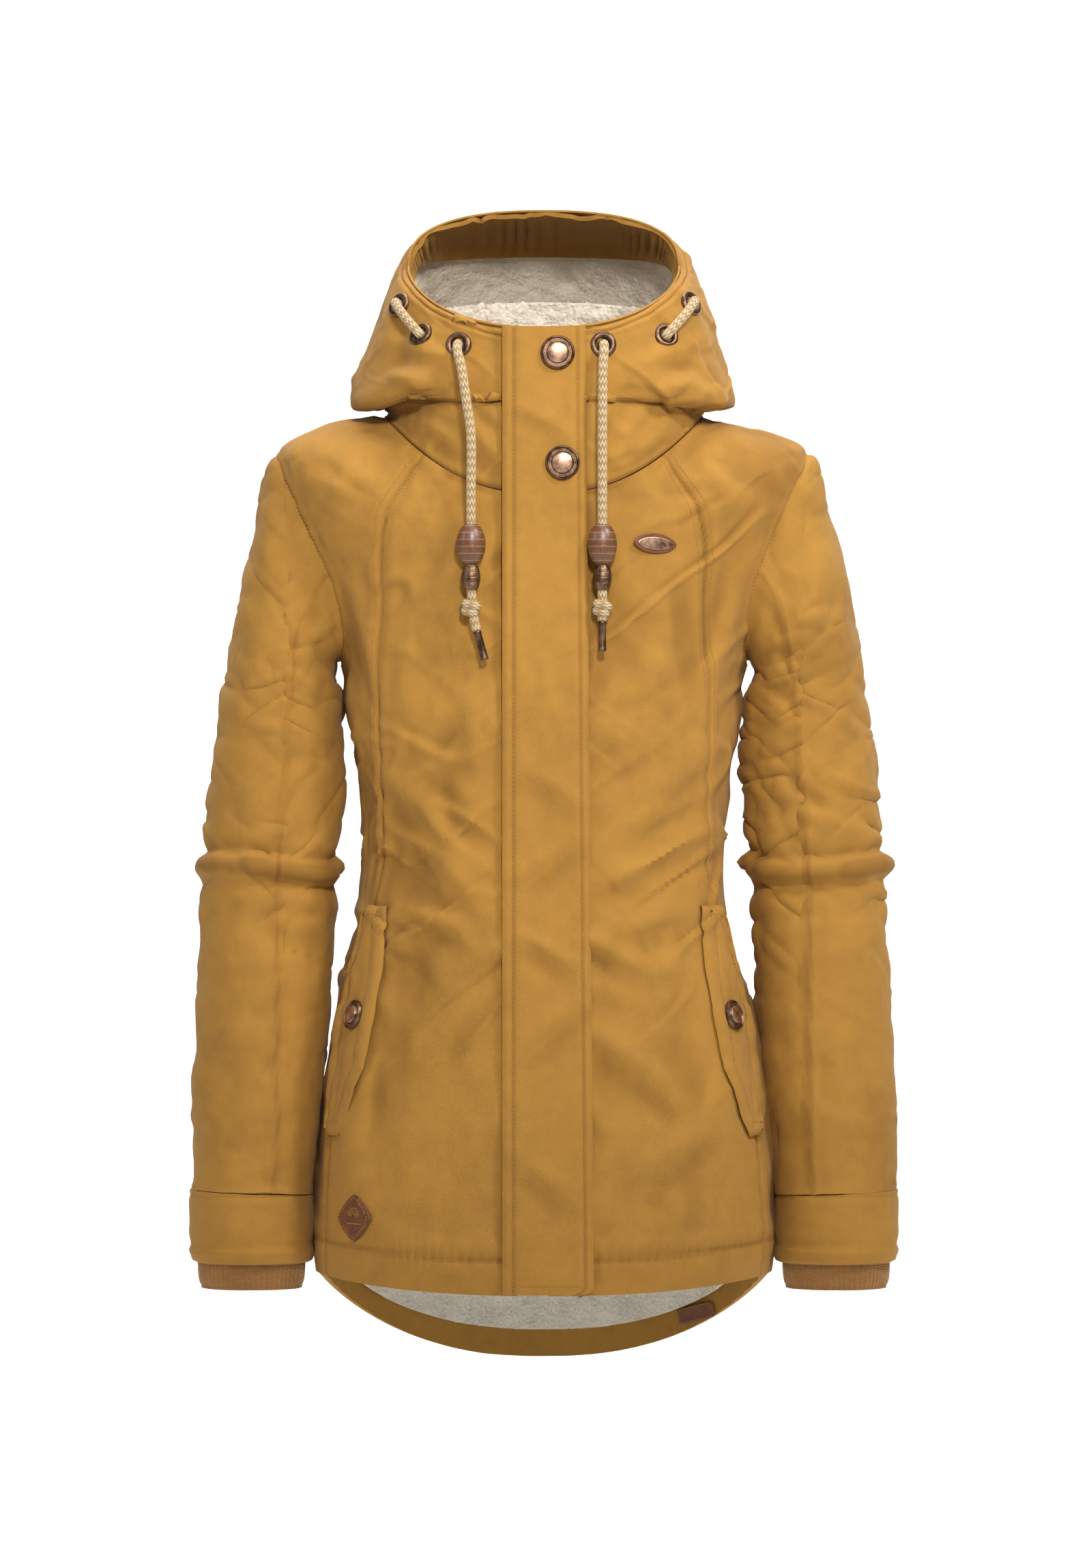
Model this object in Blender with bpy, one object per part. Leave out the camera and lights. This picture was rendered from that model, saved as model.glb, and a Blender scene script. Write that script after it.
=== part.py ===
"""Women's hooded winter jacket, held up by its hanger loop.

Units are metres, +Z is up and the front of the jacket faces -Y, so the wearer's right side is at -X.
The garment is drafted in its own pattern frame: Z is zero 13.5 mm above the lowest point of the
dropped back hem and Y is zero at the side seams. An empty then carries the pattern frame so that the
hanger loop sits at the world's origin.
"""
import math

import bpy
import numpy as np
from mathutils import Matrix, Vector

# ---------------------------------------------------------------- driving dimensions
LOOP_Y = 0.053
LOOP_Z = 0.722
SHELL = 0.0035
LINING_OUT = 0.0070
LINING_IN = 0.0110
POCKET_OUT = 0.0052
POCKET_IN = 0.0062
SEAM_GAP = 0.0022
HOOD_GAP = 0.0170
SQUARENESS = 0.85

FRONT_Y_AT_HEM = -0.134
FRONT_LEAN = 0.0365
HEM_FRONT_Z = 0.0515
RIM_FRONT_Z = 0.794

ZIP_X = -0.008
ZIP_HALF = 0.0115
FLAP_HINGE_X = -0.032
FLAP_TOP_X = 0.0322
FLAP_HEM_X = 0.0385
FLAP_THICK = 0.0040
FLAP_LIFT = 0.0010
SNAP_RADIUS = 0.0125

EYELET_RADIUS = 0.0103
EYELET_HOLE = 0.0052
EYELET_THICK = 0.0024
CORD_RADIUS = 0.0037
CHEST_STAND_OFF = 0.0100

BEAD_RADIUS = 0.0113
BEAD_HALF = 0.0155
BEAD_FLATTEN = 0.86
SMALL_BEAD_RADIUS = 0.0072
SMALL_BEAD_HALF = 0.0092
BEAD_BORE = 0.0045

# Rings of the body shell: half-width, back depth, height at the side, at the front and at the back.
BODY_RINGS = (
    (0.1790, 0.128, 0.0640, 0.0515, -0.0135),
    (0.1785, 0.129, 0.1200, 0.1150, 0.0780),
    (0.1725, 0.125, 0.2000, 0.1980, 0.1800),
    (0.1610, 0.115, 0.2700, 0.2690, 0.2600),
    (0.1480, 0.104, 0.3300, 0.3300, 0.3260),
    (0.1415, 0.097, 0.3900, 0.3900, 0.3880),
    (0.1440, 0.098, 0.4500, 0.4480, 0.4500),
    (0.1515, 0.104, 0.5000, 0.4950, 0.5000),
    (0.1590, 0.110, 0.5450, 0.5350, 0.5480),
    (0.1750, 0.113, 0.6000, 0.5720, 0.6050),
    (0.1960, 0.112, 0.6550, 0.6050, 0.6560),
    (0.2070, 0.106, 0.6960, 0.6300, 0.6880),
    (0.1960, 0.101, 0.7130, 0.6400, 0.7030),
    (0.1600, 0.091, 0.7255, 0.6540, 0.7200),
    (0.1250, 0.080, 0.7320, 0.6680, 0.7350),
)
# Rings of the hood, from the neck seam over the side fold and the crown to the rim.
HOOD_RINGS = (
    (0.1250, 0.080, 0.7330, 0.6690, 0.7360),
    (0.1220, 0.082, 0.7370, 0.7030, 0.7400),
    (0.1240, 0.086, 0.7385, 0.7400, 0.7430),
    (0.1480, 0.104, 0.7375, 0.7460, 0.7580),
    (0.1465, 0.134, 0.7560, 0.7540, 0.7800),
    (0.1360, 0.151, 0.7840, 0.7640, 0.8150),
    (0.1255, 0.141, 0.8140, 0.7740, 0.8520),
    (0.1155, 0.105, 0.8420, 0.7850, 0.8870),
    (0.1075, 0.030, 0.8490, 0.7940, 0.8960),
)
# Rings of the fleece stand collar inside the hood.
STAND_RINGS = (
    (0.1170, 0.0700, 0.7360, 0.6900, 0.7380),
    (0.1090, 0.0650, 0.7650, 0.7300, 0.7760),
    (0.1010, 0.0600, 0.7900, 0.7600, 0.8180),
)
NECK = len(BODY_RINGS) - 1
BODY_POWER = 2.0
HOOD_BACK_POWER = 0.75
HOOD_SEAM_ROW = 2.0

COLLAR_ANGLE = math.radians(36.5)
CROWN_SEAM_ANGLE = math.radians(156)

# Rings of a sleeve: centre X, Y and Z, half-width, half-depth and the tilt of the ring about Y.
UPPER_SLEEVE_RINGS = (
    (0.1895, 0.000, 0.6205, 0.0755, 0.0680, 72),
    (0.1935, 0.000, 0.5915, 0.0640, 0.0640, 62),
    (0.1993, 0.000, 0.5600, 0.0530, 0.0600, 49),
    (0.2025, 0.000, 0.5300, 0.0456, 0.0580, 26),
    (0.2050, 0.000, 0.4950, 0.0462, 0.0565, 6),
    (0.2070, 0.000, 0.4590, 0.0495, 0.0550, 1),
    (0.2118, 0.000, 0.4150, 0.0508, 0.0530, 0),
    (0.2150, -0.001, 0.3820, 0.0515, 0.0530, 0),
)
LOWER_SLEEVE_RINGS = (
    (0.2150, -0.002, 0.3775, 0.0505, 0.0520, 0),
    (0.2165, -0.003, 0.3450, 0.0495, 0.0505, 2),
    (0.2205, -0.008, 0.2640, 0.0490, 0.0490, 2),
    (0.2245, -0.012, 0.1900, 0.0470, 0.0470, 2),
    (0.2285, -0.015, 0.1260, 0.0440, 0.0450, 2),
)
CUFF_RINGS = (
    (0.2285, -0.015, 0.1250, 0.0450, 0.0465, 2),
    (0.2290, -0.016, 0.0960, 0.0465, 0.0475, 0),
    (0.2285, -0.016, 0.0710, 0.0450, 0.0460, 0),
)
RIB_RINGS = (
    (0.2285, -0.016, 0.0980, 0.0380, 0.0390, 0),
    (0.2285, -0.016, 0.0720, 0.0395, 0.0400, 0),
    (0.2285, -0.016, 0.0505, 0.0375, 0.0380, 0),
)
SLEEVE_SHELL = 0.0040
PATCH_ROW = 2.42
PATCH_LIFT = 0.0022
RIB_SHELL = 0.0030

# Joint positions in the pattern frame.
HOOD_PIVOT = (0.0, 0.075, 0.735)
SHOULDER_PIVOT = (0.2085, 0.0, 0.6990)
ELBOW_PIVOT = (0.2150, -0.056, 0.3797)
POCKET_PIVOT = (0.1594, -0.0459, 0.2500)

# Colours as linear RGB, with roughness and metallic value.
MUSTARD = ((0.46, 0.23, 0.055), 0.85, 0.0)
RIB_MUSTARD = ((0.40, 0.20, 0.065), 0.90, 0.0)
FLEECE = ((0.66, 0.60, 0.51), 0.95, 0.0)
CORD_YARN = ((0.60, 0.46, 0.24), 0.90, 0.0)
COPPER = ((0.30, 0.19, 0.13), 0.38, 1.0)
DARK_METAL = ((0.09, 0.055, 0.04), 0.40, 1.0)
BEAD_BROWN = ((0.24, 0.09, 0.03), 0.45, 0.0)
LEATHER = ((0.22, 0.075, 0.015), 0.60, 0.0)
ZIP_GREY = ((0.12, 0.09, 0.06), 0.60, 0.0)
POCKET_CLOTH = ((0.20, 0.12, 0.05), 0.90, 0.0)
PATCH_WHITE = ((0.75, 0.73, 0.70), 0.80, 0.0)


# ---------------------------------------------------------------- helpers
def clear_scene():
    """Removes every object that the scene starts with."""
    for obj in list(bpy.data.objects):
        bpy.data.objects.remove(obj, do_unlink=True)


def make_material(name, finish):
    """A Principled material from a colour, a roughness and a metallic value."""
    colour, roughness, metallic = finish
    material = bpy.data.materials.new(name)
    material.use_nodes = True
    shader = material.node_tree.nodes["Principled BSDF"]
    shader.inputs["Base Color"].default_value = (*colour, 1.0)
    shader.inputs["Roughness"].default_value = roughness
    shader.inputs["Metallic"].default_value = metallic
    return material


def make_empty(name, place, parent):
    """An empty at a place in the pattern frame, under its parent."""
    empty = bpy.data.objects.new(name, None)
    bpy.context.scene.collection.objects.link(empty)
    empty.parent = parent
    empty.location = Vector(place) - (Vector(parent["place"]) if parent else Vector((0, 0, 0)))
    empty["place"] = place
    return empty


def place_object(name, data, finish, parent, place=(0, 0, 0), facing=None):
    """Links an object under an empty, at a place in the pattern frame, with local Z along facing."""
    obj = bpy.data.objects.new(name, data)
    bpy.context.scene.collection.objects.link(obj)
    obj.data.materials.append(make_material(name + "_finish", finish))
    obj.parent = parent
    obj.location = Vector(place) - Vector(parent["place"])
    if facing is not None:
        obj.rotation_euler = Vector(facing).to_track_quat("Z", "Y").to_euler()
    return obj


def smooth_mesh(name, verts, faces):
    """A mesh from vertices and faces, shaded smooth up to 40 degrees."""
    mesh = bpy.data.meshes.new(name)
    mesh.from_pydata([tuple(map(float, v)) for v in verts], [], faces)
    mesh.update()
    mesh.shade_smooth()
    mesh.set_sharp_from_angle(angle=math.radians(40))
    return mesh


def front_y(z):
    """Depth of the straight centre front line at a height."""
    return FRONT_Y_AT_HEM + FRONT_LEAN * z


def spline_row(rows, v):
    """Catmull-Rom interpolation of a table of rings at the row number v."""
    table = np.asarray(rows, dtype=float)
    last = len(table) - 1
    v = min(max(v, 0.0), float(last))
    i = min(int(v), last - 1)
    t = v - i
    p1, p2 = table[i], table[i + 1]
    p0 = table[i - 1] if i > 0 else 2 * p1 - p2
    p3 = table[i + 2] if i + 2 <= last else 2 * p2 - p1
    m1, m2 = (p2 - p0) / 2, (p3 - p1) / 2
    t2, t3 = t * t, t * t * t
    start, stop = 2 * t3 - 3 * t2 + 1, 3 * t2 - 2 * t3
    return start * p1 + (t3 - 2 * t2 + t) * m1 + stop * p2 + (t3 - t2) * m2


def signed_power(value, power):
    """A power that keeps the sign of its base."""
    return math.copysign(abs(value) ** power, value)


def shell_point(rows, theta, v):
    """A point of a ring surface. Theta is zero at the centre front and grows towards +X."""
    half, back, z_side, z_front, z_back = spline_row(rows, v)
    s, c = math.sin(theta), math.cos(theta)
    x = half * signed_power(s, SQUARENESS)
    reach = abs(c) ** SQUARENESS
    if c >= 0:
        return Vector((x, front_y(z_front) * reach, z_side + (z_front - z_side) * abs(c) ** BODY_POWER))
    power = HOOD_BACK_POWER if rows is HOOD_RINGS else BODY_POWER
    return Vector((x, back * reach, z_side + (z_back - z_side) * abs(c) ** power))


def shell_frame(rows, theta, v):
    """The point and the outward normal of a ring surface."""
    step = 1e-3
    last = float(len(rows) - 1)
    lower, upper = max(v - step, 0.0), min(v + step, last)
    along = shell_point(rows, theta + step, v) - shell_point(rows, theta - step, v)
    up = shell_point(rows, theta, upper) - shell_point(rows, theta, lower)
    return shell_point(rows, theta, v), along.cross(up).normalized()


def theta_of_x(rows, x, v):
    """The front angle whose point lies at the given X."""
    half = spline_row(rows, v)[0]
    return math.copysign(math.asin(min(abs(x) / half, 1.0) ** (1 / SQUARENESS)), x)


def row_of_front_z(rows, theta, z):
    """The row number at which the surface reaches a height, found by halving."""
    low, high = 0.0, float(len(rows) - 1)
    for _ in range(40):
        middle = (low + high) / 2
        if shell_point(rows, theta, middle).z < z:
            low = middle
        else:
            high = middle
    return (low + high) / 2


def slab(name, outer, inner):
    """A closed body between two grids of points of the same size."""
    count_v, count_u = len(outer), len(outer[0])
    verts = [p for row in outer for p in row] + [p for row in inner for p in row]
    shift = count_v * count_u

    def at(j, i):
        return j * count_u + i

    faces = []
    for j in range(count_v - 1):
        for i in range(count_u - 1):
            a, b, c, d = at(j, i), at(j, i + 1), at(j + 1, i + 1), at(j + 1, i)
            faces.append((a, b, c, d))
            faces.append((shift + d, shift + c, shift + b, shift + a))
    edge = [at(0, i) for i in range(count_u)]
    edge += [at(j, count_u - 1) for j in range(1, count_v)]
    edge += [at(count_v - 1, i) for i in range(count_u - 2, -1, -1)]
    edge += [at(j, 0) for j in range(count_v - 2, 0, -1)]
    for k, first in enumerate(edge):
        second = edge[(k + 1) % len(edge)]
        faces.append((second, first, shift + first, shift + second))
    return smooth_mesh(name, verts, faces)


def shell_patch(name, rows, rows_v, left, right, count_u, outer_offset, inner_offset):
    """A patch of a ring surface between two seams, thickened along its normals."""
    outer, inner = [], []
    for v in rows_v:
        start, stop = left(v), right(v)
        outer_row, inner_row = [], []
        for i in range(count_u):
            theta = start + (stop - start) * i / (count_u - 1)
            point, normal = shell_frame(rows, theta, v)
            outer_row.append(point + normal * outer_offset)
            inner_row.append(point + normal * inner_offset)
        outer.append(outer_row)
        inner.append(inner_row)
    return slab(name, outer, inner)


def lathe(name, profile, segments, closed=False, flatten=1.0):
    """Turns a profile of (radius, height) about Z. An open profile starts and ends on the axis."""
    ring_points = profile if closed else profile[1:-1]
    verts = []
    for radius, height in ring_points:
        for k in range(segments):
            angle = 2 * math.pi * k / segments
            verts.append((radius * math.cos(angle), radius * flatten * math.sin(angle), height))
    faces = []
    count = len(ring_points)
    for j in range(count if closed else count - 1):
        lower, upper = j * segments, (j + 1) % count * segments
        for k in range(segments):
            n = (k + 1) % segments
            faces.append((lower + k, lower + n, upper + n, upper + k))
    if not closed:
        verts += [(0.0, 0.0, profile[0][1]), (0.0, 0.0, profile[-1][1])]
        bottom, top, last = len(verts) - 2, len(verts) - 1, (count - 1) * segments
        for k in range(segments):
            n = (k + 1) % segments
            faces.append((bottom, n, k))
            faces.append((top, last + k, last + n))
    return smooth_mesh(name, verts, faces)


def tube(name, rings, thickness, segments=18):
    """An open sleeve of cloth: elliptical rings, tilted about Y, with an inner wall."""
    count = len(rings)
    walls = []
    for inset in (0.0, thickness):
        for j in range(count):
            x, y, z, rx, ry, tilt = rings[j]
            turn = math.radians(tilt)
            for k in range(segments):
                angle = 2 * math.pi * k / segments
                across = (rx - inset) * math.cos(angle)
                walls.append((x + across * math.cos(turn), y + (ry - inset) * math.sin(angle),
                              z + across * math.sin(turn)))
    faces = []
    shift = count * segments
    for k in range(segments):
        n = (k + 1) % segments
        for j in range(count - 1):
            a, b, c, d = j * segments + k, j * segments + n, (j + 1) * segments + n, (j + 1) * segments + k
            faces.append((d, c, b, a))
            faces.append((shift + a, shift + b, shift + c, shift + d))
        last = (count - 1) * segments
        faces.append((k, n, shift + n, shift + k))
        faces.append((last + n, last + k, shift + last + k, shift + last + n))
    return smooth_mesh(name, walls, faces)


def mirrored(mesh):
    """Mirrors a mesh across X, with its faces turned to point out again."""
    for vertex in mesh.vertices:
        vertex.co.x = -vertex.co.x
    mesh.flip_normals()
    return mesh


def block(name, corners_low, corners_high):
    """A prism between a low and a high quadrilateral, both counter-clockwise seen from above."""
    faces = [(3, 2, 1, 0), (4, 5, 6, 7)]
    for k in range(4):
        n = (k + 1) % 4
        faces.append((k, n, n + 4, k + 4))
    return smooth_mesh(name, list(corners_low) + list(corners_high), faces)


def smooth_route(points, spacing):
    """Points at an even spacing along a Catmull-Rom curve through the route's own points."""
    dense = []
    steps = 24
    for k in range((len(points) - 1) * steps + 1):
        dense.append(Vector(spline_row(points, k / steps)))
    lengths = [0.0]
    for a, b in zip(dense, dense[1:]):
        lengths.append(lengths[-1] + (b - a).length)
    count = max(2, round(lengths[-1] / spacing) + 1)
    coords = np.asarray([tuple(p) for p in dense])
    marks = np.linspace(0, lengths[-1], count)
    return np.stack([np.interp(marks, lengths, coords[:, axis]) for axis in range(3)], axis=1)


def cord_curve(name, points, radii=None):
    """A tube with filled caps on a POLY spline."""
    curve = bpy.data.curves.new(name, "CURVE")
    curve.dimensions = "3D"
    curve.bevel_depth = CORD_RADIUS
    curve.bevel_resolution = 2
    curve.use_fill_caps = True
    spline = curve.splines.new("POLY")
    spline.points.add(len(points) - 1)
    for k, point in enumerate(points):
        spline.points[k].co = (*map(float, point), 1.0)
        spline.points[k].radius = 1.0 if radii is None else float(radii[k])
    spline.use_smooth = True
    return curve


# ---------------------------------------------------------------- seam lines of the body shell
def princess_angle(v):
    """Front angle of the princess seam: it runs out from the neck to the bust, waist and side hem."""
    share = spline_row(((0.944,), (0.944,), (0.944,), (0.944,), (0.930,), (0.888,), (0.868,), (0.840,),
                        (0.795,), (0.712,), (0.640,), (0.590,), (0.600,), (0.660,), (0.740,)), v)[0]
    return math.asin(share ** (1 / SQUARENESS))


ARMHOLE_LOW = 8.0
ARMHOLE_HIGH = 11.0
ARMHOLE_REACH = math.radians(34)
SIDE_SEAM = math.radians(90)


def armhole_reach(v):
    """Half-angle of the armhole about the side seam, as half an ellipse between its two rows."""
    middle, half = (ARMHOLE_LOW + ARMHOLE_HIGH) / 2, (ARMHOLE_HIGH - ARMHOLE_LOW) / 2
    share = (v - middle) / half
    return ARMHOLE_REACH * math.sqrt(max(0.0, 1 - share * share))


def body_rows(first, last):
    """Row numbers for a body panel, closer together round the armhole."""
    coarse = np.arange(first, ARMHOLE_LOW - 0.5, 1.0)
    fine = np.arange(ARMHOLE_LOW - 0.5, ARMHOLE_HIGH + 0.51, 0.5)
    top = np.arange(ARMHOLE_HIGH + 1.0, last + 0.001, 1.0)
    return [float(v) for v in np.concatenate([coarse, fine, top])]


# ---------------------------------------------------------------- shell of the body
def build_body(root):
    """Front, side and back panels, the fleece lining and the pocket bags."""
    angle_gap = SEAM_GAP
    rows = body_rows(0.0, NECK)
    front_left_edge = ZIP_X + ZIP_HALF + 0.0006
    front_right_edge = ZIP_X - ZIP_HALF - 0.0006
    right = shell_patch("front_panel_right", BODY_RINGS, rows,
                        lambda v: -princess_angle(v) + angle_gap,
                        lambda v: theta_of_x(BODY_RINGS, front_right_edge, v), 9, 0.0, -SHELL)
    place_object("front_panel_right", right, MUSTARD, root)
    left = shell_patch("front_panel_left", BODY_RINGS, rows,
                       lambda v: theta_of_x(BODY_RINGS, front_left_edge, v),
                       lambda v: princess_angle(v) - angle_gap, 9, 0.0, -SHELL)
    place_object("front_panel_left", left, MUSTARD, root)
    for side in ("right", "left"):
        mesh = shell_patch("side_panel_" + side, BODY_RINGS, rows,
                           lambda v: princess_angle(v) + angle_gap,
                           lambda v: SIDE_SEAM - armhole_reach(v) - angle_gap, 5, 0.0, -SHELL)
        place_object("side_panel_" + side, mesh if side == "left" else mirrored(mesh), MUSTARD, root)
    back = shell_patch("back_panel", BODY_RINGS, rows,
                       lambda v: SIDE_SEAM + armhole_reach(v) + angle_gap,
                       lambda v: 2 * math.pi - SIDE_SEAM - armhole_reach(v) - angle_gap, 13, 0.0, -SHELL)
    place_object("back_panel", back, MUSTARD, root)
    lining_rows = [0.26] + [float(v) for v in range(1, 8)]
    front_edge = 0.034
    lining = shell_patch("body_lining", BODY_RINGS, lining_rows,
                         lambda v: theta_of_x(BODY_RINGS, front_edge, v),
                         lambda v: 2 * math.pi - theta_of_x(BODY_RINGS, front_edge, v),
                         25, -LINING_OUT, -LINING_IN)
    place_object("body_lining", lining, FLEECE, root)
    for side in ("right", "left"):
        bag = shell_patch("pocket_bag_" + side, BODY_RINGS, [1.0, 1.5, 2.0, 2.5, 3.0],
                          lambda v: math.radians(36), lambda v: math.radians(74),
                          7, -POCKET_OUT, -POCKET_IN)
        place_object("pocket_bag_" + side, bag if side == "left" else mirrored(bag), POCKET_CLOTH, root)


def build_collar(root):
    """The two collar fronts below the rim and the fleece-faced stand collar inside the hood."""
    rows = [0.0, 0.5, 1.0, 1.5, 2.0, 2.5, 3.0, 3.5, 4.0, 5.0, 6.0, 7.0, 8.0]
    half_gap = HOOD_GAP
    right = shell_patch("collar_front_right", HOOD_RINGS, rows,
                        lambda v: -COLLAR_ANGLE + half_gap,
                        lambda v: theta_of_x(HOOD_RINGS, ZIP_X - ZIP_HALF - 0.0006, v), 6, 0.0, -SHELL)
    place_object("collar_front_right", right, MUSTARD, root)
    left = shell_patch("collar_front_left", HOOD_RINGS, rows,
                       lambda v: theta_of_x(HOOD_RINGS, ZIP_X + ZIP_HALF + 0.0006, v),
                       lambda v: COLLAR_ANGLE - half_gap, 6, 0.0, -SHELL)
    place_object("collar_front_left", left, MUSTARD, root)
    stand = shell_patch("stand_collar", STAND_RINGS, [0.0, 0.5, 1.0, 1.5, 2.0],
                        lambda v: math.radians(62), lambda v: 2 * math.pi - math.radians(62),
                        19, 0.0, -0.005)
    place_object("stand_collar", stand, FLEECE, root)


def build_hood(hood):
    """Side panels, crown strip and fleece lining of the hood."""
    rows = [HOOD_SEAM_ROW, 2.5, 3.0, 3.5, 4.0, 5.0, 6.0, 7.0, 7.5, 8.0]
    gap = SEAM_GAP
    for side in ("right", "left"):
        mesh = shell_patch("hood_side_" + side, HOOD_RINGS, rows,
                           lambda v: COLLAR_ANGLE + HOOD_GAP, lambda v: CROWN_SEAM_ANGLE - gap,
                           11, 0.0, -SHELL)
        place_object("hood_side_" + side, mesh if side == "left" else mirrored(mesh), MUSTARD, hood)
    crown = shell_patch("hood_crown", HOOD_RINGS, rows,
                        lambda v: CROWN_SEAM_ANGLE + gap,
                        lambda v: 2 * math.pi - CROWN_SEAM_ANGLE - gap, 7, 0.0, -SHELL)
    place_object("hood_crown", crown, MUSTARD, hood)
    lining = shell_patch("hood_lining", HOOD_RINGS, [4.0, 5.0, 6.0, 7.0, 7.5],
                         lambda v: math.radians(58), lambda v: 2 * math.pi - math.radians(58),
                         25, -SHELL - 0.0022, -SHELL - 0.0062)
    place_object("hood_lining", lining, FLEECE, hood)


# ---------------------------------------------------------------- centre front
def front_strip(name, x_left_low, x_right_low, x_left_top, x_right_top, z_low, z_top, near, far):
    """A straight strip along the centre front; near and far are its distances in front of the line."""
    low = [(x_left_low, front_y(z_low) - near, z_low), (x_right_low, front_y(z_low) - near, z_low),
           (x_right_low, front_y(z_low) - far, z_low), (x_left_low, front_y(z_low) - far, z_low)]
    top = [(x_left_top, front_y(z_top) - near, z_top), (x_right_top, front_y(z_top) - near, z_top),
           (x_right_top, front_y(z_top) - far, z_top), (x_left_top, front_y(z_top) - far, z_top)]
    return block(name, low, top)


def build_front(root, flap, slider):
    """Zip tapes, slider and pull, the storm flap and its snaps."""
    z_low, z_top = HEM_FRONT_Z + 0.004, 0.785
    for side, sign in (("right", -1), ("left", 1)):
        inner, outer = ZIP_X + sign * 0.0004, ZIP_X + sign * ZIP_HALF
        first, second = min(inner, outer), max(inner, outer)
        mesh = front_strip("zip_tape_" + side, first, second, first, second, z_low, z_top, -0.0044, -0.0062)
        place_object("zip_tape_" + side, mesh, ZIP_GREY, root)
    body_low, body_top = 0.752, 0.768
    mesh = front_strip("zip_slider", ZIP_X - 0.0045, ZIP_X + 0.0045, ZIP_X - 0.0045, ZIP_X + 0.0045,
                       body_low, body_top, -0.0016, -0.0040)
    place_object("zip_slider", mesh, DARK_METAL, slider)
    mesh = front_strip("zip_pull", ZIP_X - 0.0030, ZIP_X + 0.0030, ZIP_X - 0.0030, ZIP_X + 0.0030,
                       0.726, 0.764, 0.0000, -0.0012)
    place_object("zip_pull", mesh, COPPER, slider)
    mesh = front_strip("storm_flap", FLAP_HINGE_X, FLAP_HEM_X, FLAP_HINGE_X, FLAP_TOP_X,
                       HEM_FRONT_Z, RIM_FRONT_Z, FLAP_LIFT + FLAP_THICK, FLAP_LIFT)
    place_object("storm_flap", mesh, MUSTARD, flap)
    forward = Vector((0, -1, FRONT_LEAN)).normalized()
    for name, x, z in (("snap_cap_chin", 0.0106, 0.777), ("snap_cap_chest", 0.0143, 0.692)):
        place = (x, front_y(z) - FLAP_LIFT - FLAP_THICK - 0.0004, z)
        place_object(name, snap_cap(name), COPPER, flap, place, forward)
    for name, x, z in (("snap_stud_chin", 0.0122, 0.777), ("snap_stud_chest", 0.0143, 0.692)):
        place = (x, front_y(z) - 0.0001, z)
        stud = lathe(name, [(0.0, 0.0), (0.0045, 0.0), (0.0045, 0.0007), (0.0, 0.0007)], 16)
        place_object(name, stud, COPPER, root, place, forward)


def snap_cap(name):
    """Domed centre, sunken ring and rolled rim, standing on its back face."""
    profile = [(0.0, 0.0), (SNAP_RADIUS, 0.0), (SNAP_RADIUS, 0.0020), (0.0110, 0.0028), (0.0098, 0.0016),
               (0.0086, 0.0016), (0.0070, 0.0034), (0.0, 0.0042)]
    return lathe(name, profile, 16)


# ---------------------------------------------------------------- pockets
POCKET_TOP = 0.350
POCKET_LOW = 0.172


def pocket_edges(z):
    """Inner and outer X of a pocket flap at a height: a long leaf whose lower end slants outwards."""
    inner = np.interp(z, [0.172, 0.2385, 0.264, 0.302, 0.350], [0.1500, 0.1300, 0.1250, 0.1225, 0.1190])
    outer = np.interp(z, [0.172, 0.224, 0.267, 0.297, 0.350], [0.1620, 0.1590, 0.1560, 0.1500, 0.1360])
    return float(inner), float(outer)


def build_pockets(root, flap_right, flap_left):
    """Pocket flaps that fold about their outer edges, with their snaps."""
    heights = np.linspace(POCKET_LOW, POCKET_TOP, 9)
    for side, sign, parent in (("right", -1, flap_right), ("left", 1, flap_left)):
        outer_grid, inner_grid = [], []
        for z in heights:
            x_in, x_out = pocket_edges(z)
            outer_row, inner_row = [], []
            for share in np.linspace(0, 1, 5):
                middle = row_of_front_z(BODY_RINGS, math.radians(60), z)
                start = theta_of_x(BODY_RINGS, x_in, middle)
                stop = theta_of_x(BODY_RINGS, x_out, middle)
                theta = start + (stop - start) * share
                v = row_of_front_z(BODY_RINGS, theta, z)
                point, normal = shell_frame(BODY_RINGS, theta, v)
                outer_row.append(point + normal * 0.0040)
                inner_row.append(point + normal * 0.0010)
            outer_grid.append(outer_row)
            inner_grid.append(inner_row)
        mesh = slab("pocket_flap_" + side, outer_grid, inner_grid)
        place_object("pocket_flap_" + side, mesh if sign > 0 else mirrored(mesh), MUSTARD, parent)
        z = 0.2632
        theta = theta_of_x(BODY_RINGS, 0.1385, row_of_front_z(BODY_RINGS, math.radians(60), z))
        point, normal = shell_frame(BODY_RINGS, theta, row_of_front_z(BODY_RINGS, theta, z))
        facing = Vector((sign * normal.x, normal.y, normal.z))
        base = Vector((sign * point.x, point.y, point.z))
        name = "snap_cap_pocket_" + side
        place_object(name, snap_cap(name), COPPER, parent, base + facing * 0.0045, facing)
        name = "snap_stud_pocket_" + side
        stud = lathe(name, [(0.0, 0.0), (0.0045, 0.0), (0.0045, 0.0005), (0.0, 0.0005)], 16)
        place_object(name, stud, COPPER, root, base + facing * 0.0002, facing)


# ---------------------------------------------------------------- eyelets, cords and beads
EYELETS = {"front": (0.0650, 0.7835), "side": (0.0935, 0.7915), "upper": (0.1105, 0.8170)}
FRONT_EYELET_X = {"right": -0.0645, "left": 0.0450}
HANG_X = {"right": -0.0560, "left": 0.0450}


def rim_spot(x, z):
    """Point and normal of the hood's front at an X and a height."""
    theta = math.radians(30)
    for _ in range(12):
        v = row_of_front_z(HOOD_RINGS, theta, z)
        half = spline_row(HOOD_RINGS, v)[0]
        theta = math.asin(min(abs(x) / half, 0.999) ** (1 / SQUARENESS))
    return shell_frame(HOOD_RINGS, theta, row_of_front_z(HOOD_RINGS, theta, z))


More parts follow.
